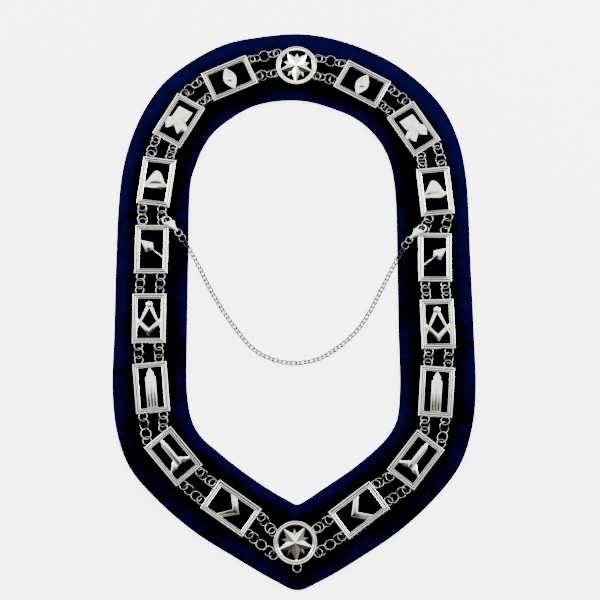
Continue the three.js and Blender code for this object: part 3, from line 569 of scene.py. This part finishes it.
def frame_shape():
    """The plaque's moulding: two round ridges, a groove inside each, and a fall to the window."""
    high = PLAQUE_THICKNESS
    low = high - GROOVE_DEPTH
    half = LINE_WIDTH / 2
    profile = [(0, 0), (0, 0.6 * high)]
    profile += bead(0.03, LINES[0] - half, 0.66 * high, high)
    profile += [(LINES[0] - 0.8 * half, low), (LINES[0] + 0.8 * half, low)]
    profile += bead(LINES[0] + half, LINES[1] - half, high - 0.75, 0.97 * high)
    profile += [(LINES[1] - 0.8 * half, low + 0.1), (LINES[1] + 0.8 * half, low + 0.1)]
    profile += [(LINES[1] + half, 0.86 * high), (LINES[1] + half + 0.25, 0.9 * high)]
    profile += [(FRAME_BAND - 0.7, 0.86 * high), (FRAME_BAND - 0.1, WINDOW_EDGE)]
    profile += [(FRAME_BAND, WINDOW_EDGE - 0.15), (FRAME_BAND, 0)]
    return swept_frame(profile)


def line_shape(number):
    """Strips of painted shade in the moulding's two grooves, and thin dark tubes of painted shade along the
    emblem's creases.
    """
    shape = Shape()
    half = LINE_WIDTH / 2
    for inset, lift in [(LINES[0], 0.0), (LINES[1], 0.1)]:
        floor = PLAQUE_THICKNESS - GROOVE_DEPTH + lift
        shape.merge(swept_frame([
            (inset - half, floor - 0.2), (inset - 0.8 * half, floor + 0.12),
            (inset + 0.8 * half, floor + 0.12), (inset + half, floor - 0.2),
        ]))
    for height, crease in CREASES.get(number, []):
        path = [Vector((x * WINDOW_X, y * WINDOW_Y, height)) for x, y in crease]
        shape.merge(tube(path, [0.24] * len(path), 8))
    return shape


def window(points):
    return [(x * WINDOW_X, y * WINDOW_Y) for x, y in points]


def raised(points, share=1.0, bevel=0.32):
    return relief(window(points), EMBLEM_BOTTOM, EMBLEM_BOTTOM + EMBLEM_HEIGHT * share, bevel)


def circle(x, y, radius, steps=28):
    bearings = [2 * math.pi * step / steps for step in range(steps)]
    return [(x + radius * math.cos(bearing), y + radius * math.sin(bearing)) for bearing in bearings]


def tick_mark(x, y, half, length, top):
    """A small upright bar that stands out of an emblem."""
    corners = [(x - half, y), (x + half, y), (x + half, y - length), (x - half, y - length)]
    return relief(corners, EMBLEM_BOTTOM, top, 0.06)


TOP = EMBLEM_BOTTOM + EMBLEM_HEIGHT
OVER = 1.06


def eye_shape():
    lids = []
    steps = 22
    for sign in (1, -1):
        for step in range(steps):
            across = sign * (-OVER + 2 * OVER * step / steps)
            lids.append((across, sign * 0.34 * math.cos(across * math.pi / 2 * 0.9)))
    outline = window(lids)
    hole = [(x * 0.74, y * 0.66) for x, y in outline]
    shape = relief(outline, EMBLEM_BOTTOM, TOP - 0.1, 0.3, [hole])
    shape.merge(relief([(x * 0.78, y * 0.72) for x, y in outline], EMBLEM_BOTTOM, TOP - 0.9, 0.2))
    shape.merge(dome(circle(0, 0, 0.3 * WINDOW_X), EMBLEM_BOTTOM, TOP - 0.6, TOP + 0.35))
    return shape.merge(torus(0.3 * WINDOW_X + 0.1, 0.6, Matrix.Translation((0, 0, TOP - 0.55)), 30, 10))


def tablet_shape():
    shape = raised([(-0.78, -0.1), (-0.73, 0.71), (0.69, 0.73), (0.6, -0.1)], 0.8, 0.25)
    left_tail = [(0.34, 0.05), (-0.02, -0.36), (-0.72, -0.66), (-OVER, -0.34), (-OVER, -0.14), (-0.8, 0.05)]
    right_tail = [(-0.5, 0.05), (0.62, 0.05), (OVER, -0.14), (OVER, -0.34), (0.5, -0.66), (-0.1, -0.36)]
    shape.merge(raised(left_tail, 0.9, 0.3))
    shape.merge(raised(right_tail, 1.05, 0.3))
    return shape


def dome_shape():
    hill = smooth_outline(window([
        (0.8, -0.12), (0.62, 0.14), (0.44, 0.36), (0.2, 0.54), (0, 0.6), (-0.12, 0.61), (-0.24, 0.58),
        (-0.46, 0.42), (-0.76, 0.1), (-0.96, -0.15), (-0.1, -0.2),
    ]), 4)
    shape = dome(hill, EMBLEM_BOTTOM, TOP - 0.75, TOP + 0.1, 8, 0.8)
    hull = [(-OVER, -0.34), (0.54, -0.38), (OVER, -0.16), (OVER, -0.06), (0.7, -0.12), (-OVER, -0.18)]
    shape.merge(raised(hull, 1.12, 0.4))
    rim = [(-OVER, -0.17), (OVER, -0.05), (OVER, -0.1), (0.7, -0.16), (-OVER, -0.22)]
    return shape.merge(raised(rim, 1.2, 0.12))


def trowel_shape():
    blade = window([(-OVER, 0.51), (0.08, 0.37), (0.16, 0.01), (-0.52, -0.14)])
    shape = dome(blade, EMBLEM_BOTTOM, TOP - 0.65, TOP + 0.15, 4, 0.9)
    start = Vector((0.1 * WINDOW_X, -0.01 * WINDOW_Y, 1.5))
    end = Vector((OVER * WINDOW_X, -0.43 * WINDOW_Y, 1.55))
    path = [start.lerp(end, step / 16) for step in range(17)]
    radii = [0.55 + 0.75 * smoothstep(step, 3, 7) - 0.3 * smoothstep(step, 8, 10)
             + 0.25 * smoothstep(step, 12, 16) for step in range(17)]
    return shape.merge(tube(path, radii, 16))


def compasses_shape():
    square = [(-OVER, 0.06), (-OVER, -0.18), (0, -0.89), (OVER, -0.18), (OVER, 0.06), (0, -0.52)]
    shape = raised(square, 0.82, 0.3)
    leg = [(0.0, 0.56), (0.1, 0.7), (0.3, 0.62), (1.2, -0.64), (1.13, -0.68)]
    shape.merge(raised(leg, 1.0, 0.3))
    shape.merge(raised([(-x, y) for x, y in leg], 1.0, 0.3))
    head = Vector((0, 0.73 * WINDOW_Y, 0))
    shape.merge(dome(circle(head.x, head.y, 0.3 * WINDOW_X), EMBLEM_BOTTOM, TOP - 0.1, TOP + 0.3))
    for share in (0.25, 0.4, 0.55, 0.7, 0.85):
        for sign in (1, -1):
            x = sign * share * WINDOW_X * OVER
            y = (-0.52 + 0.58 * share - 0.03) * WINDOW_Y
            shape.merge(tick_mark(x, y, 0.14, 1.7, TOP - 0.25))
    return shape


def pillar_shape():
    shaft = [(-0.46, -OVER), (0.46, -OVER), (0.46, 0.56), (0.32, 0.6), (0.32, 0.76), (0, OVER),
             (-0.32, 0.76), (-0.32, 0.6), (-0.46, 0.56)]
    shape = raised(shaft, 0.8, 0.3)
    for left, right in [(-0.4, -0.14), (-0.12, 0.12), (0.14, 0.4)]:
        high = 0.54 if abs(left + right) > 0.2 else 0.86
        middle = (left + right) / 2
        flute = [(left, -1.0), (right, -1.0), (right, high), (middle, high + 0.06), (left, high)]
        shape.merge(raised(flute, 1.16, 0.45))
    return shape


def pen_shape():
    rod = [(-0.2, -0.52), (0.2, -0.52), (0.3, -0.27), (0.3, 0.74), (0.14, OVER), (-0.04, OVER),
           (-0.22, 0.74), (-0.22, -0.27)]
    shape = raised(rod, 1.12, 0.7)
    wing = [(0.16, -0.15), (0.42, -0.2), (0.7, -0.36), (OVER, -0.52), (OVER, -0.62), (0.72, -0.59),
            (0.46, -0.61), (0.14, -0.46)]
    for sign in (1, -1):
        outline = window([(sign * x, y) for x, y in wing])
        if sign > 0:
            outline = outline[::-1]
        shape.merge(dome(outline, EMBLEM_BOTTOM, TOP - 0.8, TOP - 0.05, 5, 0.8))
        for share in (0.35, 0.6, 0.85):
            x = sign * share * WINDOW_X
            y = (-0.2 - 0.26 * share) * WINDOW_Y
            vein = [Vector((x - sign * 0.9, y - 2.4, TOP - 0.55)), Vector((x, y, TOP - 0.45))]
            shape.merge(tube(vein, [0.22, 0.3], 8))
    return shape


def square_shape():
    rule = [(-1.12, 0.5), (-1.12, 0.16), (-0.12, -0.4), (0, -0.5), (1.12, 0.08), (1.12, 0.48), (0.03, -0.09)]
    shape = raised(rule, 0.92, 0.3)
    for share in (0.2, 0.34, 0.48, 0.62, 0.76, 0.9):
        for sign in (1, -1):
            x = sign * share * WINDOW_X
            y = (-0.3 + 0.6 * share) * WINDOW_Y
            shape.merge(tick_mark(x, y, 0.13, 2.2, TOP + 0.12))
    return shape


# Tubes of painted shade along the creases of the tablet's ribbon and the hull, by the plaque's
# number: their height over the plaque's back and their points
CREASES = {
    2: [(TOP + 0.05, [(-0.74, 0.0), (-0.2, -0.1), (0.2, -0.3)]),
        (TOP + 0.1, [(0.56, 0.03), (0.1, -0.1), (-0.3, -0.3)]),
        (TOP - 0.35, [(0.52, 0.6), (0.3, 0.28), (-0.1, 0.06)])],
    3: [(TOP, [(-0.9, -0.14), (-0.4, -0.17), (0.1, -0.18), (0.5, -0.15), (0.76, -0.1)])],
}

EMBLEMS = [
    (eye_shape, True), (tablet_shape, True), (dome_shape, False), (trowel_shape, True),
    (compasses_shape, True), (pillar_shape, True), (pen_shape, True), (square_shape, False),
]


def plaque_matrix(side, number):
    x, y, lean = PLAQUE_ROWS[side][number - 1]
    return turn_z(math.radians(lean), (x * HALF_WIDTH, y * HALF_LENGTH, PLAQUE_SEAT))


def loop_place(across, end, height=0):
    """The middle of a soldered loop, seen from the plaque's middle."""
    return Vector((across * LOOP_SPACING / 2, end * (PLAQUE_LENGTH / 2 + LOOP_REACH), height))


def make_plaques():
    moulding = frame_shape()
    for number, (make, mirrored) in enumerate(EMBLEMS, 1):
        emblem = make()
        lines = line_shape(number)
        for side in ("left", "right"):
            shape = Shape().merge(moulding)
            flip = Matrix.Scale(-1, 4, (1, 0, 0)) if mirrored and side == "right" else Matrix.Identity(4)
            shape.merge(emblem, flip)
            loops = Shape()
            for across in (-1, 1):
                for end in (-1, 1):
                    spot = loop_place(across, end, LOOP_PLANE - PLAQUE_SEAT)
                    loops.merge(torus(LOOP_RADIUS, SOLDERED_WIRE, Matrix.Translation(spot)))
            place = plaque_matrix(side, number)
            which = f"{side}_{number}"
            node = [f"plaque_{which}"]
            shape = Shape().merge(shape, place)
            shape.make(f"silver_plaque_{which}", silver, "silver", sharp=24, replaced=node)
            loops = Shape().merge(loops, place)
            loops.make(f"plaque_loops_{which}", shaded_ring_silver, "silver", replaced=node)
            # Painted shade in the grooves and along the creases
            dark = Shape().merge(lines, place @ flip)
            dark.make(f"plaque_lines_{which}", recess_shade, "silver", replaced=node)


# Medallions
def star(tip, valley, edge, crown, turn, points=5):
    corners = []
    for point in range(2 * points):
        reach = tip if point % 2 == 0 else valley
        bearing = turn + math.pi * point / points
        corners.append((reach * math.cos(bearing), reach * math.sin(bearing)))
    count = len(corners)
    all_points = [(x, y, EMBLEM_BOTTOM) for x, y in corners]
    all_points += [(x, y, edge) for x, y in corners]
    all_points += [(0, 0, EMBLEM_BOTTOM), (0, 0, crown)]
    faces = []
    for corner in range(count):
        beside = (corner + 1) % count
        faces.append([corner, beside, count + beside, count + corner])
        faces.append([count + corner, count + beside, 2 * count + 1])
        faces.append([beside, corner, 2 * count])
    return Shape().add(all_points, faces)


def medallion_ring(hatched):
    outer = MEDALLION_RADIUS
    band = MEDALLION_BAND
    high = PLAQUE_THICKNESS
    around = counted(240, 120)
    shape = Shape()
    points = []
    profile = [(outer - band, 0), (outer, 0), (outer, 0.74 * high)]
    profile += [(outer - inset, height) for inset, height in bead(0.02, 0.36 * band, 0.8 * high, high)]
    profile += [(outer - 0.42 * band, high - 0.6), (outer - 0.46 * band, high - 0.62)]
    hatch_from = len(profile)
    inner_bead = bead(0.48 * band, 0.88 * band, high - 0.6, high - 0.1, 5)
    profile += [(outer - inset, height) for inset, height in inner_bead]
    hatch_to = len(profile)
    profile += [(outer - 0.9 * band, high - 0.8), (outer - band, 0.7 * high), (outer - band, 0.2)]
    for step in range(around):
        bearing = 2 * math.pi * step / around
        for index, (reach, height) in enumerate(profile):
            cut = 0.32 if hatched and hatch_from <= index < hatch_to and step % 3 == 0 else 0
            points.append((reach * math.cos(bearing), reach * math.sin(bearing), height - cut))
    return shape.add(points, grid_faces(around, len(profile), True, True))


def medallion_loops(which):
    x, y, _, bearings = MEDALLION_ROWS[which]
    reach = MEDALLION_RADIUS + LOOP_REACH
    return {key: Vector((x * HALF_WIDTH + reach * math.cos(math.radians(bearing)),
                         y * HALF_LENGTH + reach * math.sin(math.radians(bearing)), LOOP_PLANE))
            for key, bearing in bearings.items()}


def make_medallions():
    for which, (x, y, turn, _) in MEDALLION_ROWS.items():
        place = Matrix.Translation((x * HALF_WIDTH, y * HALF_LENGTH, PLAQUE_SEAT))
        down = math.radians(-90 + turn)
        shape = Shape().merge(medallion_ring(which == "top"), place)
        node = [f"medallion_{which}"]
        tenth = math.pi / 5
        small = star(SMALL_STAR_TIP, SMALL_STAR_TIP / 2, SMALL_STAR_EDGE, SMALL_STAR_CROWN, down + tenth)
        if which == "bottom":
            small = Shape().merge(small, place)
            # The bottom small star gets the darker copy of the silver: painted shade
            small.make("small_star_bottom", shaded_star_silver, "silver", sharp=18, replaced=node)
        else:
            shape.merge(small, place)
        shape.merge(star(STAR_TIP, STAR_VALLEY, STAR_EDGE, STAR_CROWN, down), place)
        loops = Shape()
        for spot in medallion_loops(which).values():
            loops.merge(torus(LOOP_RADIUS, SOLDERED_WIRE, Matrix.Translation(spot)))
        if which == "bottom":
            bearing = math.radians(JEWEL_BEARING)
            reach = MEDALLION_RADIUS + 0.62 * JEWEL_RADIUS
            spot = (x * HALF_WIDTH + reach * math.cos(bearing),
                    y * HALF_LENGTH + reach * math.sin(bearing), LOOP_PLANE)
            loops.merge(torus(JEWEL_RADIUS, JEWEL_WIRE, Matrix.Translation(spot)))
        loops.make(f"medallion_loops_{which}", shaded_ring_silver, "silver", replaced=node)
        shape.make(f"silver_medallion_{which}", silver, "silver", sharp=18, replaced=node)


# Strands of jump rings
def plaque_loop(side, number, strand, end):
    outward = -1 if side == "left" else 1
    across = outward if strand == "outer" else -outward
    point = plaque_matrix(side, number) @ loop_place(across, end)
    point.z = LOOP_PLANE
    return point


def strand_rings(side, gap, strand):
    start = medallion_loops("top")[(side, strand)] if gap == 1 else plaque_loop(side, gap - 1, strand, -1)
    end = medallion_loops("bottom")[(side, strand)] if gap == 9 else plaque_loop(side, gap, strand, 1)
    span = (end - start).length
    along = (end - start).normalized()
    count = max(1, math.ceil((span - 2 * END_PITCH) / RING_PITCH) + 1)
    lead = (span - (count - 1) * RING_PITCH) / 2
    turned = 1 if side == "left" else -1
    rings = []
    for ring in range(count):
        tilt = (1 if ring % 2 == 0 else -1) * turned * RING_TILT
        centre = start + along * (lead + ring * RING_PITCH)
        rings.append(Matrix.Translation(centre) @ Matrix.Rotation(tilt, 4, along))
    return rings


def make_rings():
    for side in ("left", "right"):
        for gap in range(1, 10):
            for strand in ("outer", "inner"):
                shape = Shape()
                for matrix in strand_rings(side, gap, strand):
                    shape.merge(torus(RING_RADIUS, RING_WIRE, matrix, 44, 14))
                shape.make(f"jump_rings_{side}_{gap}_{strand}", shaded_ring_silver, "silver",
                           replaced=[f"rings_{side}_{gap}_{strand}"])


# Clasps: x runs from the middle of the hook to the tail
def clasp_frame(side):
    hooked = strand_rings(side, 4, "inner")[-1].translation
    to_hook, to_tail, roll, fall = (math.radians(angle) for angle in CLASP_ROWS[side][:4])
    mirror = 1 if side == "left" else -1
    reach = RING_RADIUS + HOOK_RADIUS - (RING_WIRE + HOOK_WIRE) / 2 - 4.6 * CLEARANCE
    centre = Vector((hooked.x + reach * math.cos(to_hook), hooked.y + reach * math.sin(to_hook),
                     LOOP_PLANE + CLASP_ROWS[side][4]))
    turn = Matrix.Rotation(to_tail, 4, "Z") @ Matrix.Rotation(fall, 4, "Y")
    turn = turn @ Matrix.Rotation(-roll * mirror, 4, "X")
    return Matrix.Translation(centre) @ turn, mirror


def cheek_outline():
    """The clasp's flat cheek: its outer edge round the tail, then the edge of the hook's hole."""
    tail = TAIL_REACH - TAIL_KNOB
    back = smooth_outline([
        (0.3 * TAIL_REACH, HOOK_RADIUS), (0.5 * TAIL_REACH, 0.8 * HOOK_RADIUS),
        (0.68 * TAIL_REACH, 0.42 * HOOK_RADIUS), (tail - 0.2, 0.55 * TAIL_KNOB),
        (TAIL_REACH - 0.3 * TAIL_KNOB, 0.5 * TAIL_KNOB), (TAIL_REACH, 0),
        (TAIL_REACH - 0.3 * TAIL_KNOB, -0.5 * TAIL_KNOB), (tail - 0.2, -0.55 * TAIL_KNOB),
        (0.68 * TAIL_REACH, -0.42 * HOOK_RADIUS), (0.5 * TAIL_REACH, -0.8 * HOOK_RADIUS),
        (0.27 * TAIL_REACH, -1.03 * HOOK_RADIUS), (0.1 * TAIL_REACH, -1.1 * HOOK_RADIUS),
    ], 5)
    back = [point for point in back if point[0] > 0.12 * TAIL_REACH]
    hole = []
    for step in range(19):
        bearing = -1.36 + 2.36 * step / 18
        hole.append((HOOK_HOLE / 2 * math.cos(bearing), HOOK_HOLE / 2 * math.sin(bearing)))
    return back, hole


def clasp_body_shape():
    back, hole = cheek_outline()
    top = max(range(len(back)), key=lambda index: back[index][1])
    outline = back[top:] + back[:top] + hole
    cheek = (CLASP_THICKNESS - SLOT_HEIGHT) / 2
    half = CLASP_THICKNESS / 2
    shape = Shape()
    for sign in (1, -1):
        middle = sign * (SLOT_HEIGHT + cheek) / 2
        shape.merge(relief(outline, middle - cheek / 2, middle + cheek / 2, 0.12))
        inset = [(x * 0.97 + 0.2, y * 0.93) for x, y in back]
        cushion = dome(inset, SLOT_HEIGHT / 2 + 0.05, half - 0.1, half + 0.75)
        shape.merge(cushion, Matrix.Identity(4) if sign > 0 else Matrix.Rotation(math.pi, 4, "X"))
    spine = [(x, y) for x, y in outline if x > 0.55 * TAIL_REACH]
    shape.merge(relief(spine, -half + 0.1, half - 0.1, 0.3))
    arc = []
    steps = 40
    for step in range(steps + 1):
        bearing = math.radians(104 + 218 * step / steps)
        arc.append(Vector((HOOK_RADIUS * math.cos(bearing), HOOK_RADIUS * math.sin(bearing), 0)))
    radii = [HOOK_WIRE / 2 * (0.8 + 0.2 * smoothstep(step, 0, 8) + 0.35 * smoothstep(step, 26, 40))
             for step in range(steps + 1)]
    shape.merge(tube(arc, radii, 18))
    pin = [Vector((PIN_X, PIN_Y, -half - 0.05)), Vector((PIN_X, PIN_Y, half + 0.05))]
    return shape.merge(tube(pin, [LEVER_PIN / 2, LEVER_PIN / 2], 20))


def lever_shape():
    eye = 1.25
    points = []
    for bearing, share in [(97, 0.86), (97, 1.12), (80, 1.13), (62, 1.13), (46, 1.1)]:
        reach = share * HOOK_RADIUS
        points.append((reach * math.cos(math.radians(bearing)), reach * math.sin(math.radians(bearing))))
    points += [(PIN_X + 0.2, PIN_Y + 0.9 * eye), (PIN_X - 0.9 * eye, PIN_Y)]
    for bearing, share in [(60, 0.88), (80, 0.86)]:
        reach = share * HOOK_RADIUS
        points.append((reach * math.cos(math.radians(bearing)), reach * math.sin(math.radians(bearing))))
    half = LEVER_THICKNESS / 2
    shape = relief(smooth_outline(points, 4), -half, half, 0.22)
    tab = [(-0.9, 0.4), (0.8, 0.4), (0.85, 3.0), (0.1, 3.5), (-0.65, 3.2)]
    shape.merge(relief(smooth_outline([(x + PIN_X, y + PIN_Y) for x, y in tab], 4), -half, half, 0.22))
    pin_hole = circle(PIN_X, PIN_Y, LEVER_PIN / 2 + 0.15, 20)
    return shape.merge(relief(circle(PIN_X, PIN_Y, eye), -half, half, 0.15, [pin_hole]))


def make_clasps():
    body = clasp_body_shape()
    lever = lever_shape()
    for side in ("left", "right"):
        matrix, mirror = clasp_frame(side)
        whole = matrix @ Matrix.Scale(mirror, 4, (0, 1, 0))
        clasp = Shape().merge(body, whole)
        clasp.make(f"silver_clasp_{side}", clasp_silver, "silver", replaced=[f"clasp_{side}"])
        sprung = Shape().merge(lever, whole)
        sprung.make(f"silver_lever_{side}", clasp_silver, "silver", body=f"lever_{side}",
                    replaced=[f"clasp_lever_{side}"])


# The safety chain
def end_rings(side):
    matrix, mirror = clasp_frame(side)
    dropped = Matrix.Rotation(math.radians(10), 4, "Y")
    from_tail = dropped @ Vector((END_RING_RADIUS, 0, 0))
    from_tail.x += TAIL_REACH - TAIL_KNOB
    first = matrix @ Matrix.Translation(from_tail) @ dropped
    contact = first @ Vector((END_RING_RADIUS - 0.75 * END_RING_WIRE, 0, 0))
    chain_end = CHAIN_ROUTE[0] if side == "left" else CHAIN_ROUTE[-1]
    aim = math.atan2(chain_end[1] * HALF_LENGTH - contact.y, chain_end[0] * HALF_WIDTH - contact.x)
    across = Matrix.Rotation(aim, 4, "Z") @ Matrix.Rotation(math.radians(5), 4, "Y")
    across = across @ Matrix.Rotation(math.radians(mirror * (50 - CLASP_ROWS[side][2])), 4, "X")
    second = Matrix.Translation(contact) @ across @ Matrix.Translation((END_RING_RADIUS, 0, 0))
    exit_point = second @ Vector((END_RING_RADIUS - 0.2 * END_RING_WIRE, 0, 0))
    return first, second, exit_point


def chain_height(distance, exit_height):
    on_surface = CHAIN_THICKNESS / 2 + 0.1
    on_rim = max(exit_height, RIM_THICKNESS + 2 * SEAT_GAP + CHAIN_THICKNESS / 2)
    level = exit_height + (on_rim - exit_height) * smoothstep(distance, 0, 12)
    return level + (on_surface - level) * smoothstep(distance, 12, 30)


def make_chain():
    ends = {side: end_rings(side) for side in ("left", "right")}
    route = [Vector((x * HALF_WIDTH, y * HALF_LENGTH, 0)) for x, y in CHAIN_ROUTE]
    first_exit, last_exit = ends["left"][2], ends["right"][2]
    route = [Vector((first_exit.x, first_exit.y, 0)), *route, Vector((last_exit.x, last_exit.y, 0))]
    samples = [spline_value(route, step / ROUTE_STEPS, closed=False) for step in range(ROUTE_STEPS + 1)]
    lengths = [0.0]
    for before, after in zip(samples, samples[1:]):
        lengths.append(lengths[-1] + (after - before).length)
    total = lengths[-1]
    for index, point in enumerate(samples):
        near_left = lengths[index] < total / 2
        distance = lengths[index] if near_left else total - lengths[index]
        point.z = chain_height(distance, (first_exit if near_left else last_exit).z)

    def at(distance):
        distance = min(max(distance, 0.0), total)
        index = min(int(distance / total * ROUTE_STEPS), ROUTE_STEPS - 1)
        while index < ROUTE_STEPS - 1 and lengths[index + 1] < distance:
            index += 1
        while index > 0 and lengths[index] > distance:
            index -= 1
        share = (distance - lengths[index]) / max(lengths[index + 1] - lengths[index], 1e-6)
        return samples[index].lerp(samples[index + 1], share)

    shape = Shape()
    stations = round(total / LINK_SPACING)
    pitch = (total - LINK_LENGTH) / (stations - 1)
    for station in range(stations):
        distance = LINK_LENGTH / 2 + station * pitch
        centre = at(distance)
        along = (at(distance + 1.5) - at(distance - 1.5)).normalized()
        sideways = Vector((0, 0, 1)).cross(along).normalized()
        up = along.cross(sideways)
        basis = Matrix((along, sideways, up)).transposed().to_4x4()
        roll = math.radians(34 if station % 2 == 0 else -34)
        lean = math.radians(14 if station % 2 == 0 else 8)
        turn = Matrix.Rotation(roll, 4, "X") @ Matrix.Rotation(lean, 4, "Z")
        matrix = Matrix.Translation(centre) @ basis @ turn
        shape.merge(torus(LINK_BEND, LINK_WIRE, matrix, 24, 10, LINK_STRETCH))
    shape.make("chain_links", chain_silver, "chain_silver", replaced=["safety_chain"])
    rings = Shape()
    for side in ("left", "right"):
        for matrix in ends[side][:2]:
            rings.merge(torus(END_RING_RADIUS, END_RING_WIRE, matrix, 40, 12))
    rings.make("chain_end_rings", shaded_ring_silver, "chain_silver", replaced=["safety_chain"])


# Stage: a pale floor that glows, the room round it, two lamps and the camera
def make_floor():
    mesh = bpy.data.meshes.new("floor")
    reach = 6.0
    corners = [(-reach, -reach, 0), (reach, -reach, 0), (reach, reach, 0), (-reach, reach, 0)]
    mesh.from_pydata(corners, [], [[0, 1, 2, 3]])
    floor = bpy.data.objects.new("floor", mesh)
    bpy.context.scene.collection.objects.link(floor)
    floor.location.z = -0.0004
    material, _, _, shader = new_material("floor_paper")
    shader.inputs["Base Color"].default_value = (0.96, 0.96, 0.96, 1)
    shader.inputs["Roughness"].default_value = 0.7
    shader.inputs["Emission Color"].default_value = (1, 1, 1, 1)
    shader.inputs["Emission Strength"].default_value = 4.0
    mesh.materials.append(material)


def make_room():
    """The room that the silver mirrors: pale ahead, dark behind, with a dark shape overhead."""
    world = bpy.context.scene.world or bpy.data.worlds.new("world")
    bpy.context.scene.world = world
    world.use_nodes = True
    nodes = world.node_tree.nodes
    links = world.node_tree.links
    direction = nodes.new("ShaderNodeSeparateXYZ")
    links.new(nodes.new("ShaderNodeTexCoord").outputs["Generated"], direction.inputs["Vector"])
    fore_aft = nodes.new("ShaderNodeMath")
    fore_aft.operation = "MULTIPLY_ADD"
    fore_aft.inputs[1].default_value = 0.5
    fore_aft.inputs[2].default_value = 0.5
    links.new(direction.outputs["Y"], fore_aft.inputs[0])
    room = ramp_node(nodes, links, fore_aft.outputs["Value"], [
        (0.0, (0.02, 0.02, 0.015)), (0.32, (0.03, 0.03, 0.022)), (0.4, (0.1, 0.1, 0.08)),
        (0.52, (0.16, 0.16, 0.13)), (0.57, (0.9, 0.91, 0.87)), (0.74, (0.97, 0.97, 0.95)),
        (1.0, (0.9, 0.9, 0.88))])
    apart = nodes.new("ShaderNodeVectorMath")
    apart.operation = "DISTANCE"
    apart.inputs[1].default_value = (-0.05, 0.04, 1.0)
    links.new(direction.inputs["Vector"].links[0].from_socket, apart.inputs[0])
    figure = ramp_node(nodes, links, apart.outputs["Value"], [
        (0.125, (0.05, 0.05, 0.04)), (0.165, (1, 1, 1))])
    shaded = nodes.new("ShaderNodeMixRGB")
    shaded.blend_type = "MULTIPLY"
    shaded.inputs["Fac"].default_value = 1.0
    links.new(room.outputs["Color"], shaded.inputs["Color1"])
    links.new(figure.outputs["Color"], shaded.inputs["Color2"])
    links.new(shaded.outputs["Color"], nodes["Background"].inputs["Color"])
    nodes["Background"].inputs["Strength"].default_value = 2.6


def make_lamps():
    for name, place, size, power in [
        ("window_right", (1.8, 0.9, 1.3), (0.9, 1.5), 70),
        ("fill_left", (-1.7, 0.9, 1.3), (0.8, 1.4), 50),
    ]:
        light = bpy.data.lights.new(name, "AREA")
        light.shape = "RECTANGLE"
        light.size, light.size_y = size
        light.energy = power
        holder = bpy.data.objects.new(name, light)
        bpy.context.scene.collection.objects.link(holder)
        holder.location = place
        holder.rotation_euler = (-Vector(place)).to_track_quat("-Z", "Y").to_euler()


def make_camera():
    distance = 1.465
    tilt = math.radians(12.8)
    aim_x = 0.0058
    aim_y = 0.00065
    camera_data = bpy.data.cameras.new("camera")
    camera_data.sensor_width = 36
    camera_data.lens = 87.9
    camera = bpy.data.objects.new("camera", camera_data)
    bpy.context.scene.collection.objects.link(camera)
    camera.location = (aim_x, aim_y - distance * math.sin(tilt), distance * math.cos(tilt))
    camera.rotation_euler = (tilt, 0, 0)
    bpy.context.scene.camera = camera


make_floor()
make_room()
make_lamps()
make_camera()
band = make_band()
make_plaques()
make_medallions()
make_rings()
make_clasps()
make_chain()
